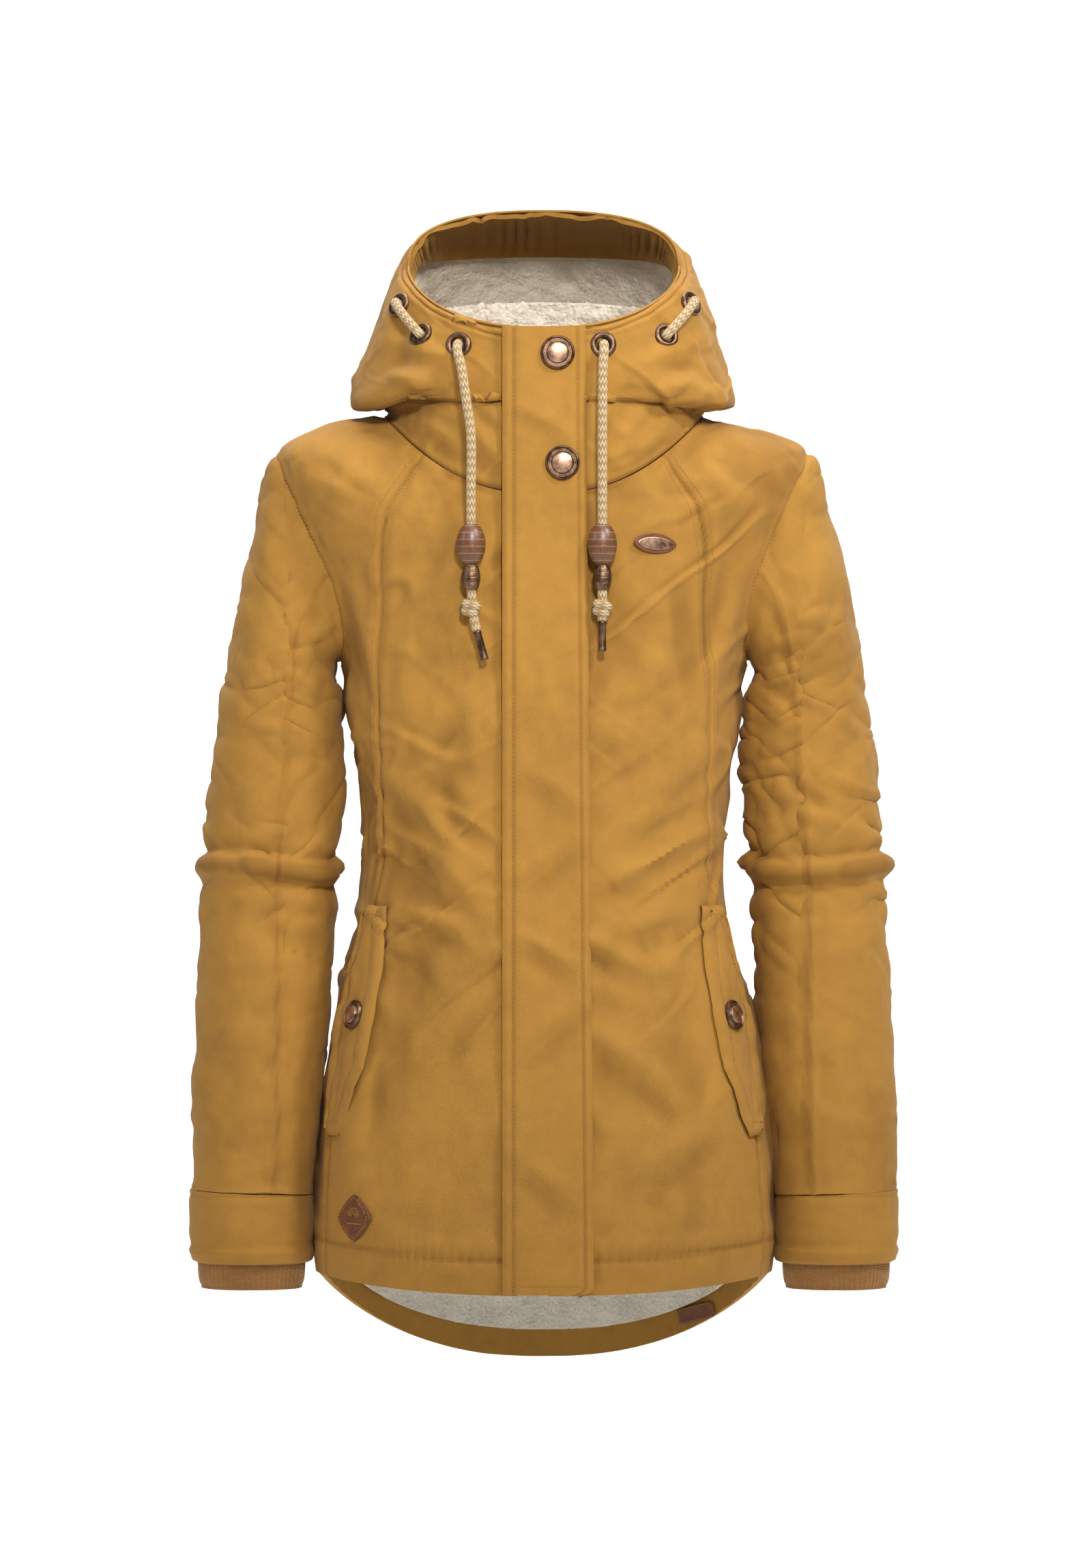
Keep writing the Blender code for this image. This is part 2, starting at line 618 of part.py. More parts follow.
def eyelet_mesh(name):
    """A rolled ring with a flat back."""
    profile = [(EYELET_RADIUS, 0.0), (EYELET_RADIUS, 0.0010), (0.0080, EYELET_THICK), (EYELET_HOLE, 0.0014),
               (EYELET_HOLE, 0.0)]
    return lathe(name, profile, 14, closed=True)


def build_cords(root, hood, swing, bead, small):
    """Six eyelets, the two short loops between eyelets, and the two hanging cords with their beads."""
    for side, sign in (("right", -1), ("left", 1)):
        spots = {}
        for key, (x, z) in EYELETS.items():
            at = abs(FRONT_EYELET_X[side]) if key == "front" else x
            height = 0.7830 if key == "front" else z
            point, normal = rim_spot(at, height)
            point.x *= sign
            normal.x *= sign
            spots[key] = (point, normal)
            name = "eyelet_" + key + "_" + side
            owner = root if key == "front" else hood
            place_object(name, eyelet_mesh(name), DARK_METAL, owner, point + normal * 0.0009, normal)
        (low, low_n), (high, high_n) = spots["side"], spots["upper"]
        middle = (low + high) / 2 + (low_n + high_n).normalized() * 0.0105
        route = [low + low_n * 0.0012, low + low_n * 0.0060, middle, high + high_n * 0.0060,
                 high + high_n * 0.0012]
        name = "cord_loop_" + side
        points = smooth_route([tuple(p) for p in route], 0.006)
        place_object(name, cord_curve(name, points), CORD_YARN, hood)
        build_hanging_cord(side, spots["front"], swing[side], bead[side], small[side])


def build_hanging_cord(side, spot, swing, bead, small):
    """One cord end: out of its eyelet, down the chest, through two beads and a knot, into its tip."""
    point, normal = spot
    x_hang = HANG_X[side]
    start = point + normal * 0.0022
    out = point + normal * 0.0062
    y_hang = front_y(0.630) - CHEST_STAND_OFF
    run = y_hang - start.y
    route = [tuple(start), tuple(out),
             (out.x, start.y + 0.52 * run, start.z - 0.0055),
             (start.x * 0.8 + x_hang * 0.2, start.y + 0.74 * run, start.z - 0.0185),
             (start.x * 0.4 + x_hang * 0.6, start.y + 0.92 * run, 0.740),
             (x_hang, y_hang, 0.712), (x_hang, y_hang, 0.670), (x_hang, y_hang, 0.630),
             (x_hang, y_hang, 0.598), (x_hang, y_hang, 0.570)]
    if side == "right":
        route[-1] = (x_hang + 0.002, y_hang, 0.5735)
        route.append((x_hang + 0.0045, y_hang, 0.5625))
    points = smooth_route(route, 0.0110)
    radii = [1.0 + 1.05 * math.exp(-((p[2] - 0.5805) / 0.0075) ** 2) for p in points]
    name = "drawcord_" + side
    place_object(name, cord_curve(name, points, radii), CORD_YARN, swing)
    tip = Vector(map(float, points[-1]))
    lean = (tip - Vector(map(float, points[-2]))).normalized()
    name = "cord_aglet_" + side
    aglet = lathe(name, [(0.0, 0.0), (0.0030, 0.0), (0.0030, 0.0230), (0.0, 0.0230)], 14)
    place_object(name, aglet, DARK_METAL, swing, tip + lean * 0.0004, lean)
    name = "cord_bead_" + side
    mesh = bead_mesh(name, BEAD_RADIUS, BEAD_HALF, BEAD_FLATTEN)
    place_object(name, mesh, BEAD_BROWN, bead, (x_hang, y_hang, 0.6290))
    name = "cord_small_bead_" + side
    mesh = bead_mesh(name, SMALL_BEAD_RADIUS, SMALL_BEAD_HALF, 1.0)
    place_object(name, mesh, COPPER, small, (x_hang, y_hang, 0.6035))


def bead_mesh(name, radius, half, flatten):
    """An olive with a bore along its length."""
    stations = np.linspace(-1, 1, 7) * math.acos(BEAD_BORE * 1.12 / radius)
    rise = half / math.sin(stations[-1])
    profile = [(radius * math.cos(a), rise * math.sin(a)) for a in stations]
    bore = BEAD_BORE
    profile += [(bore, half), (bore, -half)]
    return lathe(name, profile, 14, closed=True, flatten=flatten)


# ---------------------------------------------------------------- badges, labels and the hanger loop
def plate_outline(kind, half_x, half_z, count=8):
    """Outline of a badge in its own plane: a diamond with round corners, a pointed oval or a disc."""
    points = []
    if kind == "diamond":
        corner = 0.22 * half_x
        for quarter in range(4):
            turn = quarter * math.pi / 2
            cx, cy = (half_x - corner * 1.3) * math.cos(turn), (half_z - corner * 1.3) * math.sin(turn)
            for k in (-1, 0, 1):
                angle = turn + k * math.pi / 4
                points.append((cx + corner * math.cos(angle), cy + corner * math.sin(angle)))
        return points
    power = 1.25 if kind == "pointed" else 1.0
    for k in range(4 * count):
        angle = 2 * math.pi * k / (4 * count)
        points.append((half_x * math.cos(angle), half_z * signed_power(math.sin(angle), power)))
    return points


def badge_mesh(name, outline, thickness):
    """A thin plate with its back on local Z zero."""
    count = len(outline)
    verts = [(x, y, 0.0) for x, y in outline] + [(x, y, thickness) for x, y in outline]
    faces = [tuple(range(count - 1, -1, -1)), tuple(range(count, 2 * count))]
    for k in range(count):
        n = (k + 1) % count
        faces.append((k, n, n + count, k + count))
    return smooth_mesh(name, verts, faces)


def place_badge(name, mesh, finish, parent, point, normal, lift, roll=0.0):
    """Stands a badge on a surface with its local Y upright, then rolls it in its own plane."""
    obj = place_object(name, mesh, finish, parent, point + normal * lift)
    side = Vector((0, 0, 1)).cross(normal).normalized()
    up = normal.cross(side)
    c, s = math.cos(roll), math.sin(roll)
    x_axis, y_axis = side * c + up * s, up * c - side * s
    obj.rotation_mode = "QUATERNION"
    rows = ((x_axis.x, y_axis.x, normal.x), (x_axis.y, y_axis.y, normal.y), (x_axis.z, y_axis.z, normal.z))
    obj.rotation_quaternion = Matrix(rows).to_quaternion()
    return obj


def build_trim(root, upper_left):
    """Chest badge, hem badge, hem label, sleeve patch and hanger loop."""
    v = row_of_front_z(BODY_RINGS, theta_of_x(BODY_RINGS, 0.0848, 9.5), 0.6296)
    theta = theta_of_x(BODY_RINGS, 0.0848, v)
    point, normal = shell_frame(BODY_RINGS, theta, v)
    base = badge_mesh("chest_badge_base", plate_outline("pointed", 0.0178, 0.0078), 0.0014)
    place_badge("chest_badge_base", base, LEATHER, root, point, normal, 0.0022, math.radians(-4))
    plate = badge_mesh("chest_badge_plate", plate_outline("pointed", 0.0150, 0.0050), 0.0006)
    place_badge("chest_badge_plate", plate, COPPER, root, point, normal, 0.0040, math.radians(-4))
    v = row_of_front_z(BODY_RINGS, -math.radians(60), 0.1092)
    theta = theta_of_x(BODY_RINGS, -0.1452, v)
    point, normal = shell_frame(BODY_RINGS, theta, v)
    badge = badge_mesh("hem_badge", plate_outline("diamond", 0.0205, 0.0180), 0.0014)
    place_badge("hem_badge", badge, LEATHER, root, point, normal, 0.0022)
    theta = math.pi - theta_of_x(BODY_RINGS, 0.1250, 0.0)
    point, normal = shell_frame(BODY_RINGS, theta, 0.12)
    corners = [(-0.017, -0.006), (0.017, -0.006), (0.017, 0.007), (-0.017, 0.007)]
    label = badge_mesh("hem_label", corners, 0.0008)
    place_badge("hem_label", label, LEATHER, root, point, -normal, 0.0058)
    x, y, z, rx, _, tilt = spline_row(UPPER_SLEEVE_RINGS, PATCH_ROW)
    reach = rx + PATCH_LIFT
    patch = badge_mesh("sleeve_patch", plate_outline("disc", 0.0165, 0.0165), 0.0012)
    turn = math.radians(tilt)
    place = Vector((x + reach * math.cos(turn), y, z + reach * math.sin(turn)))
    place_badge("sleeve_patch", patch, PATCH_WHITE, upper_left, place, Vector((1, 0, 0.20)).normalized(), 0.0)
    build_hanger_loop(root)


def build_hanger_loop(root):
    """A flat ribbon ring that hangs inside the back of the neck."""
    half_x, half_z, strap, thick = 0.030, 0.0090, 0.0035, 0.0012
    outer = [(-half_x, -half_z), (half_x, -half_z), (half_x, half_z), (-half_x, half_z)]
    inner = [(x - math.copysign(strap, x), z - math.copysign(strap, z)) for x, z in outer]
    middle_z = LOOP_Z - half_z + strap
    verts = []
    for y in (LOOP_Y - thick / 2, LOOP_Y + thick / 2):
        verts += [(x, y, middle_z + z) for x, z in outer]
        verts += [(x, y, middle_z + z) for x, z in inner]
    faces = []
    for k in range(4):
        n = (k + 1) % 4
        faces.append((k, n, n + 4, k + 4))
        faces.append((k + 12, n + 12, n + 8, k + 8))
        faces.append((n, k, k + 8, n + 8))
        faces.append((k + 4, n + 4, n + 12, k + 12))
    place_object("hanger_loop", smooth_mesh("hanger_loop", verts, faces), MUSTARD, root)


# ---------------------------------------------------------------- sleeves
def build_sleeves(upper, lower):
    """Two sleeves, each of an upper and a lower tube, a cuff band and a knitted rib cuff."""
    for side in ("right", "left"):
        pieces = (("sleeve_upper_", UPPER_SLEEVE_RINGS, SLEEVE_SHELL, MUSTARD, upper[side]),
                  ("sleeve_lower_", LOWER_SLEEVE_RINGS, SLEEVE_SHELL, MUSTARD, lower[side]),
                  ("cuff_band_", CUFF_RINGS, SLEEVE_SHELL, MUSTARD, lower[side]),
                  ("rib_cuff_", RIB_RINGS, RIB_SHELL, RIB_MUSTARD, lower[side]))
        for stem, rings, thickness, finish, parent in pieces:
            mesh = tube(stem + side, rings, thickness)
            place_object(stem + side, mesh if side == "left" else mirrored(mesh), finish, parent)


# ---------------------------------------------------------------- assembly
def main():
    clear_scene()
    root = make_empty("pattern_frame", (0.0, 0.0, 0.0), None)
    hood = make_empty("hood_pivot", HOOD_PIVOT, root)
    flap = make_empty("storm_flap_hinge", (FLAP_HINGE_X, front_y(0.42) - 0.005, 0.42), root)
    slider = make_empty("zip_line", (ZIP_X, front_y(0.76), 0.76), root)
    upper, lower, pocket, swing, bead, small = {}, {}, {}, {}, {}, {}
    for side, sign in (("right", -1), ("left", 1)):
        def across(place):
            return (sign * place[0], place[1], place[2])

        upper[side] = make_empty("shoulder_" + side, across(SHOULDER_PIVOT), root)
        lower[side] = make_empty("elbow_" + side, across(ELBOW_PIVOT), upper[side])
        pocket[side] = make_empty("pocket_edge_" + side, across(POCKET_PIVOT), root)
        spot, _ = rim_spot(abs(FRONT_EYELET_X[side]), 0.7830)
        swing[side] = make_empty("cord_exit_" + side, (sign * spot.x, spot.y, spot.z), root)
        bead[side] = make_empty("bead_line_" + side, (HANG_X[side], -0.121, 0.629), swing[side])
        small[side] = make_empty("small_bead_line_" + side, (HANG_X[side], -0.121, 0.6035), swing[side])
    build_body(root)
    build_collar(root)
    build_hood(hood)
    build_front(root, flap, slider)
    build_pockets(root, pocket["right"], pocket["left"])
    build_cords(root, hood, swing, bead, small)
    build_trim(root, upper["left"])
    build_sleeves(upper, lower)
    root.location = (0.0, -LOOP_Y, -LOOP_Z)


main()
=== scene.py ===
# %% [markdown]
# # A hooded winter jacket, built as a lesson in cells
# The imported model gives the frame: where every panel, joint and fitting of the jacket is. This notebook
# dresses that frame. Cloth is worked out as surfaces on grids, wrinkled by a cloth simulation and sewn
# with real stitches; metal, leather and cord get meshes and node materials of their own.

# %% Load the frame
import math
import bmesh
import bpy
import numpy as np
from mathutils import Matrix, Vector


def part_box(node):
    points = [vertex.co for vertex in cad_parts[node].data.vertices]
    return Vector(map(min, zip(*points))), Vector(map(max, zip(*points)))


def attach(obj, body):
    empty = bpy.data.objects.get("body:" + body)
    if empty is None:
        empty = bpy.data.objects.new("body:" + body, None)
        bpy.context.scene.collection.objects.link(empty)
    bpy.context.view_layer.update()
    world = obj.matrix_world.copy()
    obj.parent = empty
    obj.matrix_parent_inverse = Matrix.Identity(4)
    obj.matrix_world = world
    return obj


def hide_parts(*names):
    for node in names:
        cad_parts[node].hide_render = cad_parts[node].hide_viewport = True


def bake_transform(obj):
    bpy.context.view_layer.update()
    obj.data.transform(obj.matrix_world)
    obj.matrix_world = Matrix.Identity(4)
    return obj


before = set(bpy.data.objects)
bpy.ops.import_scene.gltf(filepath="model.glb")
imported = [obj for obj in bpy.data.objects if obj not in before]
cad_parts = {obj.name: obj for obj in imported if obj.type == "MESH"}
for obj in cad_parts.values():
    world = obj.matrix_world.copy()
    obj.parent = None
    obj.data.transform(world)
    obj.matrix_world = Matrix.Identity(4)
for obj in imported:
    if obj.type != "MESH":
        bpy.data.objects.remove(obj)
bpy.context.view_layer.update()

# %% [markdown]
# ## The pattern frame
# A pattern cutter measures up from the hem and outwards from the side seams. The frame's origin is at the
# hanger loop instead, so one shift, the loop's place in the pattern, carries every pattern point over.

# %% Pattern frame and sizes
LOOP_Y, LOOP_Z = 0.053, 0.722
SHIFT = np.array([0.0, -LOOP_Y, -LOOP_Z])
SHELL = 0.0035
SQUARENESS = 0.85
FRONT_Y_AT_HEM = -0.134
FRONT_LEAN = 0.0365
HEM_FRONT_Z = 0.0515
RIM_FRONT_Z = 0.794
ZIP_X = -0.008
ZIP_HALF = 0.0115
FLAP_HINGE_X = -0.032
CHEST_BADGE = (0.0848, 0.6296)
HEM_BADGE = (-0.1452, 0.1092)
SIDES = (("right", -1), ("left", 1))
print("pattern shift", SHIFT)


def front_y(z):
    """Depth of the straight centre front line at a height."""
    return FRONT_Y_AT_HEM + FRONT_LEAN * np.asarray(z)


# %% [markdown]
# ## Rings instead of blocks
# A coat body is a stack of rounded rings: each has a half-width, a depth at the back and three heights, at
# the side, front and back. Between rings a Catmull-Rom curve fills in, so a dozen rows of sizes that one
# could take with a tape measure give the whole shell. The hood and its stand collar are drawn the same way.

# %% Ring tables
BODY_RINGS = np.array((
    (0.1790, 0.128, 0.0640, 0.0515, -0.0135),
    (0.1785, 0.129, 0.1200, 0.1150, 0.0780),
    (0.1725, 0.125, 0.2000, 0.1980, 0.1800),
    (0.1610, 0.115, 0.2700, 0.2690, 0.2600),
    (0.1480, 0.104, 0.3300, 0.3300, 0.3260),
    (0.1415, 0.097, 0.3900, 0.3900, 0.3880),
    (0.1440, 0.098, 0.4500, 0.4480, 0.4500),
    (0.1515, 0.104, 0.5000, 0.4950, 0.5000),
    (0.1590, 0.110, 0.5450, 0.5350, 0.5480),
    (0.1750, 0.113, 0.6000, 0.5720, 0.6050),
    (0.1960, 0.112, 0.6550, 0.6050, 0.6560),
    (0.2070, 0.106, 0.6960, 0.6300, 0.6880),
    (0.1960, 0.101, 0.7130, 0.6400, 0.7030),
    (0.1600, 0.091, 0.7255, 0.6540, 0.7200),
    (0.1250, 0.080, 0.7320, 0.6680, 0.7350)))
HOOD_RINGS = np.array((
    (0.1250, 0.080, 0.7330, 0.6690, 0.7360),
    (0.1220, 0.082, 0.7370, 0.7030, 0.7400),
    (0.1240, 0.086, 0.7385, 0.7400, 0.7430),
    (0.1480, 0.104, 0.7375, 0.7460, 0.7580),
    (0.1465, 0.134, 0.7560, 0.7540, 0.7800),
    (0.1360, 0.151, 0.7840, 0.7640, 0.8150),
    (0.1255, 0.141, 0.8140, 0.7740, 0.8520),
    (0.1155, 0.105, 0.8420, 0.7850, 0.8870),
    (0.1075, 0.030, 0.8490, 0.7940, 0.8960)))
STAND_RINGS = np.array((
    (0.1060, 0.0700, 0.7400, 0.7000, 0.7420),
    (0.1050, 0.0640, 0.7850, 0.7550, 0.7900),
    (0.1010, 0.0560, 0.8160, 0.7900, 0.8260)))
PRINCESS_SHARE = np.array((0.944, 0.944, 0.944, 0.944, 0.930, 0.888, 0.868, 0.840, 0.795, 0.712, 0.640,
                           0.590, 0.600, 0.660, 0.740))[:, None]
UPPER_SLEEVE_RINGS = np.array((
    (0.1895, 0.000, 0.6205, 0.0755, 0.0680, 72),
    (0.1935, 0.000, 0.5915, 0.0640, 0.0640, 62),
    (0.1993, 0.000, 0.5600, 0.0530, 0.0600, 49),
    (0.2025, 0.000, 0.5300, 0.0456, 0.0580, 26),
    (0.2050, 0.000, 0.4950, 0.0462, 0.0565, 6),
    (0.2070, 0.000, 0.4590, 0.0495, 0.0550, 1),
    (0.2118, 0.000, 0.4150, 0.0508, 0.0530, 0)))
LOWER_SLEEVE_RINGS = np.array((
    (0.2150, -0.002, 0.3780, 0.0515, 0.0525, 0),
    (0.2165, -0.003, 0.3450, 0.0495, 0.0505, 2),
    (0.2205, -0.008, 0.2640, 0.0490, 0.0490, 2),
    (0.2245, -0.012, 0.1900, 0.0470, 0.0470, 2),
    (0.2285, -0.015, 0.1260, 0.0440, 0.0450, 2)))
CUFF_RINGS = np.array((
    (0.2285, -0.015, 0.1262, 0.0446, 0.0460, 2),
    (0.2290, -0.016, 0.0960, 0.0465, 0.0475, 0),
    (0.2285, -0.016, 0.0710, 0.0450, 0.0460, 0)))
RIB_RINGS = np.array((
    (0.2285, -0.016, 0.0980, 0.0380, 0.0390, 0),
    (0.2285, -0.016, 0.0720, 0.0395, 0.0400, 0),
    (0.2285, -0.016, 0.0505, 0.0375, 0.0380, 0)))
QUARTER = math.pi / 2


def spline_rows(table, v):
    """Catmull-Rom through the rows of a table: two neighbours give each row its slope, cubics join them."""
    table = np.asarray(table, float)
    last = len(table) - 1
    v = np.clip(np.asarray(v, float), 0, last)
    i = np.minimum(v.astype(int), last - 1)
    t = (v - i)[..., None]
    padded = np.concatenate([2 * table[:1] - table[1:2], table, 2 * table[-1:] - table[-2:-1]])
    p0, p1, p2, p3 = padded[i], padded[i + 1], padded[i + 2], padded[i + 3]
    m1, m2 = (p2 - p0) / 2, (p3 - p1) / 2
    return ((2 * t ** 3 - 3 * t ** 2 + 1) * p1 + (t ** 3 - 2 * t ** 2 + t) * m1
            + (3 * t ** 2 - 2 * t ** 3) * p2 + (t ** 3 - t ** 2) * m2)


def shell(table, theta, v, back_power=2.0, front_power=2.0):
    """Ring surface. Width goes with the sine of theta and depth with its cosine, both to the power
    SQUARENESS, which squares the ellipse; height slides from the side's to the front's or back's."""
    theta, v = np.broadcast_arrays(np.asarray(theta, float), np.asarray(v, float))
    row = spline_rows(table, v)
    s, c = np.sin(theta), np.cos(theta)
    x = row[..., 0] * np.sign(s) * np.abs(s) ** SQUARENESS
    reach = np.abs(c) ** SQUARENESS
    front = c >= 0
    y = np.where(front, front_y(row[..., 3]) * reach, row[..., 1] * reach)
    lift = np.where(front, np.abs(c) ** front_power, np.abs(c) ** back_power)
    z = row[..., 2] + (np.where(front, row[..., 3], row[..., 4]) - row[..., 2]) * lift
    return np.stack([x, y, z], axis=-1)


def hood(theta, v):
    """The hood's ring surface. Its crown rises faster off the sides than an ellipse would, and the front
    of its rim stays low and flat before it turns up at the sides."""
    flat_rim = 2.0 - 0.85 * np.clip((np.asarray(v, float) - 4.5) / 3.5, 0, 1)
    return shell(HOOD_RINGS, theta, v, back_power=0.75, front_power=flat_rim)


def angle_at_x(table, x, v):
    """The front angle at which a ring surface is x away from the centre."""
    half = spline_rows(table, v)[..., 0]
    return np.sign(x) * np.arcsin(np.minimum(np.abs(x) / half, 1.0) ** (1 / SQUARENESS))


def body(theta, v):
    """The ring surface of the coat body, whose back hem drops in a full round curve."""
    full_hem = 2.0 - 0.45 * np.clip(1.5 - np.asarray(v, float), 0, 1)
    return shell(BODY_RINGS, theta, v, back_power=full_hem)


print("rings:", len(BODY_RINGS), "body,", len(HOOD_RINGS), "hood")

# %% [markdown]
# ## From a grid of points to a mesh
# Every piece of cloth here is a grid of points. The helper below joins it to an inner copy, a cloth's
# thickness away, so that a piece is one closed body with a real edge, and it stores a UV map in metres
# along the cloth, which the weave follows whatever the panel's shape.

# %% Mesh helpers
def grid_normals(grid, wrap=False):
    """Outward normals of a grid: the cross product of its differences along and across."""
    if wrap:
        across = np.roll(grid, -1, 1) - np.roll(grid, 1, 1)
    else:
        across = np.gradient(grid, axis=1)
    up = np.gradient(grid, axis=0)
    normal = np.cross(across, up)
    return normal / np.maximum(np.linalg.norm(normal, axis=-1, keepdims=True), 1e-12)


def arc_uv(grid):
    """UV in metres: distance along the middle row and along the middle column."""
    def run(line):
        step = np.linalg.norm(np.diff(line, axis=0), axis=1)
        return np.concatenate([[0.0], np.cumsum(step)])

    u = run(grid[grid.shape[0] // 2])
    v = run(grid[:, grid.shape[1] // 2])
    return np.stack(np.meshgrid(u, v), axis=-1)


def mesh_object(name, verts, quads, uv=None, smooth=True, shifted=True):
    """One mesh object from whole arrays. Quads may be degenerate; uv holds one pair for each vertex."""
    mesh = bpy.data.meshes.new(name)
    verts = np.asarray(verts, np.float32).reshape(-1, 3)
    if shifted:
        verts = verts + SHIFT.astype(np.float32)
    quads = np.asarray(quads, np.int32).reshape(-1, 4)
    mesh.vertices.add(len(verts))
    mesh.vertices.foreach_set("co", verts.ravel())
    mesh.loops.add(quads.size)
    mesh.loops.foreach_set("vertex_index", quads.ravel())
    mesh.polygons.add(len(quads))
    mesh.polygons.foreach_set("loop_start", np.arange(0, quads.size, 4, dtype=np.int32))
    mesh.polygons.foreach_set("use_smooth", np.full(len(quads), smooth))
    mesh.update(calc_edges=True)
    if uv is not None:
        layer = mesh.uv_layers.new(name="cloth")
        layer.data.foreach_set("uv", np.asarray(uv, np.float32).reshape(-1, 2)[quads.ravel()].ravel())
    obj = bpy.data.objects.new(name, mesh)
    bpy.context.scene.collection.objects.link(obj)
    return obj


def grid_quads(rows, columns, wrap=False):
    """Faces of a grid, turned so that across times up points out."""
    j, i = np.meshgrid(np.arange(rows - 1), np.arange(columns if wrap else columns - 1), indexing="ij")
    k = (i + 1) % columns
    return np.stack([j * columns + i, j * columns + k, (j + 1) * columns + k, (j + 1) * columns + i],
                    axis=-1).reshape(-1, 4)


def cloth_piece(name, grid, thickness=SHELL, wrap=False, normals=None, uv=None, painted_shade=None):
    """A closed sheet: the outer grid, the inner grid a thickness inside it, and walls round the edges."""
    rows, columns = grid.shape[:2]
    normals = grid_normals(grid, wrap) if normals is None else normals
    inner = grid - normals * thickness
    verts = np.concatenate([grid.reshape(-1, 3), inner.reshape(-1, 3)])
    outer_faces = grid_quads(rows, columns, wrap)
    count = rows * columns
    faces = [outer_faces, outer_faces[:, ::-1] + count]

    def wall(edge):
        first, second = edge[:-1], edge[1:]
        faces.append(np.stack([second, first, first + count, second + count], axis=-1))

    index = np.arange(count).reshape(rows, columns)
    bottom, top = index[0], index[-1]
    if wrap:
        bottom, top = np.append(bottom, bottom[0]), np.append(top, top[0])
    wall(bottom)
    wall(top[::-1])
    if not wrap:
        wall(index[:, -1])
        wall(index[::-1, 0])
    uv = arc_uv(grid) if uv is None else uv
    obj = mesh_object(name, verts, np.concatenate(faces), np.concatenate([uv.reshape(-1, 2)] * 2))
    obj.data.set_sharp_from_angle(angle=math.radians(50))
    # Painted shade: the given values are kept as a point attribute, and the twill finish darkens its colour
    # by them in seams and fold valleys.
    if painted_shade is not None:
        shade_layer = obj.data.attributes.new("painted_shade", "FLOAT", "POINT")
        shade_layer.data.foreach_set("value", np.tile(np.clip(painted_shade, 0, 1).ravel(), 2).astype(np.float32))
    return obj


def sweep(path, radius, sides=8, closed=False, squash=1.0, twist=0.0):
    """A tube along a path: a ring of points in the plane across the path at each station. The ring's first
    direction is carried along without turning, so the tube doesn't twist by itself."""
    path = np.asarray(path, float)
    tangent = np.roll(path, -1, 0) - np.roll(path, 1, 0) if closed else np.gradient(path, axis=0)
    tangent /= np.maximum(np.linalg.norm(tangent, axis=1, keepdims=True), 1e-12)
    guess = np.array([0.0, 0.0, 1.0]) if abs(tangent[0, 2]) < 0.9 else np.array([1.0, 0.0, 0.0])
    first = np.empty_like(path)
    current = guess
    for k, along in enumerate(tangent):
        current = current - along * (current @ along)
        current = current / np.linalg.norm(current)
        first[k] = current
    second = np.cross(tangent, first)
    angle = np.linspace(0, 2 * np.pi, sides, endpoint=False)[None, :] + twist
    radius = np.asarray(radius, float)
    radius = radius[:, None] if radius.ndim == 1 else radius
    ring = (first[:, None] * np.cos(angle)[..., None] + second[:, None] * (squash * np.sin(angle))[..., None])
    return path[:, None] + ring * (radius[..., None] if radius.ndim else radius)


def tube_object(name, path, radius, sides=8, closed=False, squash=1.0, uv=None):
    """A swept tube as a mesh, with its ends closed by a fan to a middle point."""
    rings = sweep(path, radius, sides, closed, squash)
    stations = len(rings)
    verts = rings.reshape(-1, 3)
    if closed:
        j, i = np.meshgrid(np.arange(stations), np.arange(sides), indexing="ij")
        n, k = (j + 1) % stations, (i + 1) % sides
        quads = np.stack([j * sides + i, j * sides + k, n * sides + k, n * sides + i], -1).reshape(-1, 4)
        return mesh_object(name, verts, quads)
    quads = grid_quads(stations, sides, wrap=True)
    middle = len(verts)
    verts = np.concatenate([verts, [path[0]], [path[-1]]])
    ring = np.arange(sides)
    following = np.roll(ring, -1)
    last = (stations - 1) * sides
    obj = mesh_object(name, verts, quads, uv)
    return close_ends(obj, ring, following, last, middle)


def close_ends(obj, ring, following, last, middle):
    """Adds the two fans of triangles that close a tube."""
    work = bmesh.new()
    work.from_mesh(obj.data)
    work.verts.ensure_lookup_table()
    points = work.verts
    for a, b in zip(ring, following):
        work.faces.new((points[b], points[a], points[middle]))
        work.faces.new((points[last + a], points[last + b], points[middle + 1]))
    work.to_mesh(obj.data)
    work.free()
    return obj


def lathe_object(name, profile, place, facing, segments=64, flatten=1.0):
    """A turned piece: a closed or axis-to-axis profile of (radius, height) carried round local Z."""
    profile = np.asarray(profile, float)
    angle = np.linspace(0, 2 * np.pi, segments, endpoint=False)
    local = np.stack([profile[:, :1] * np.cos(angle), profile[:, :1] * flatten * np.sin(angle),
                      np.repeat(profile[:, 1:], segments, 1)], axis=-1)
    turn = np.array(Vector(facing).to_track_quat("Z", "Y").to_matrix())
    verts = local @ turn.T + np.asarray(place)
    loop = np.allclose(profile[0], profile[-1])
    if loop:
        verts = verts[:-1]
    rows = len(verts)
    j, i = np.meshgrid(np.arange(rows if loop else rows - 1), np.arange(segments), indexing="ij")
    n, k = (j + 1) % rows, (i + 1) % segments
    quads = np.stack([j * segments + i, j * segments + k, n * segments + k, n * segments + i], -1)
    obj = mesh_object(name, verts.reshape(-1, 3), quads.reshape(-1, 4))
    work = bmesh.new()
    work.from_mesh(obj.data)
    bmesh.ops.remove_doubles(work, verts=work.verts, dist=1e-6)
    bmesh.ops.recalc_face_normals(work, faces=work.faces)
    work.to_mesh(obj.data)
    work.free()
    obj.data.set_sharp_from_angle(angle=math.radians(45))
    return obj


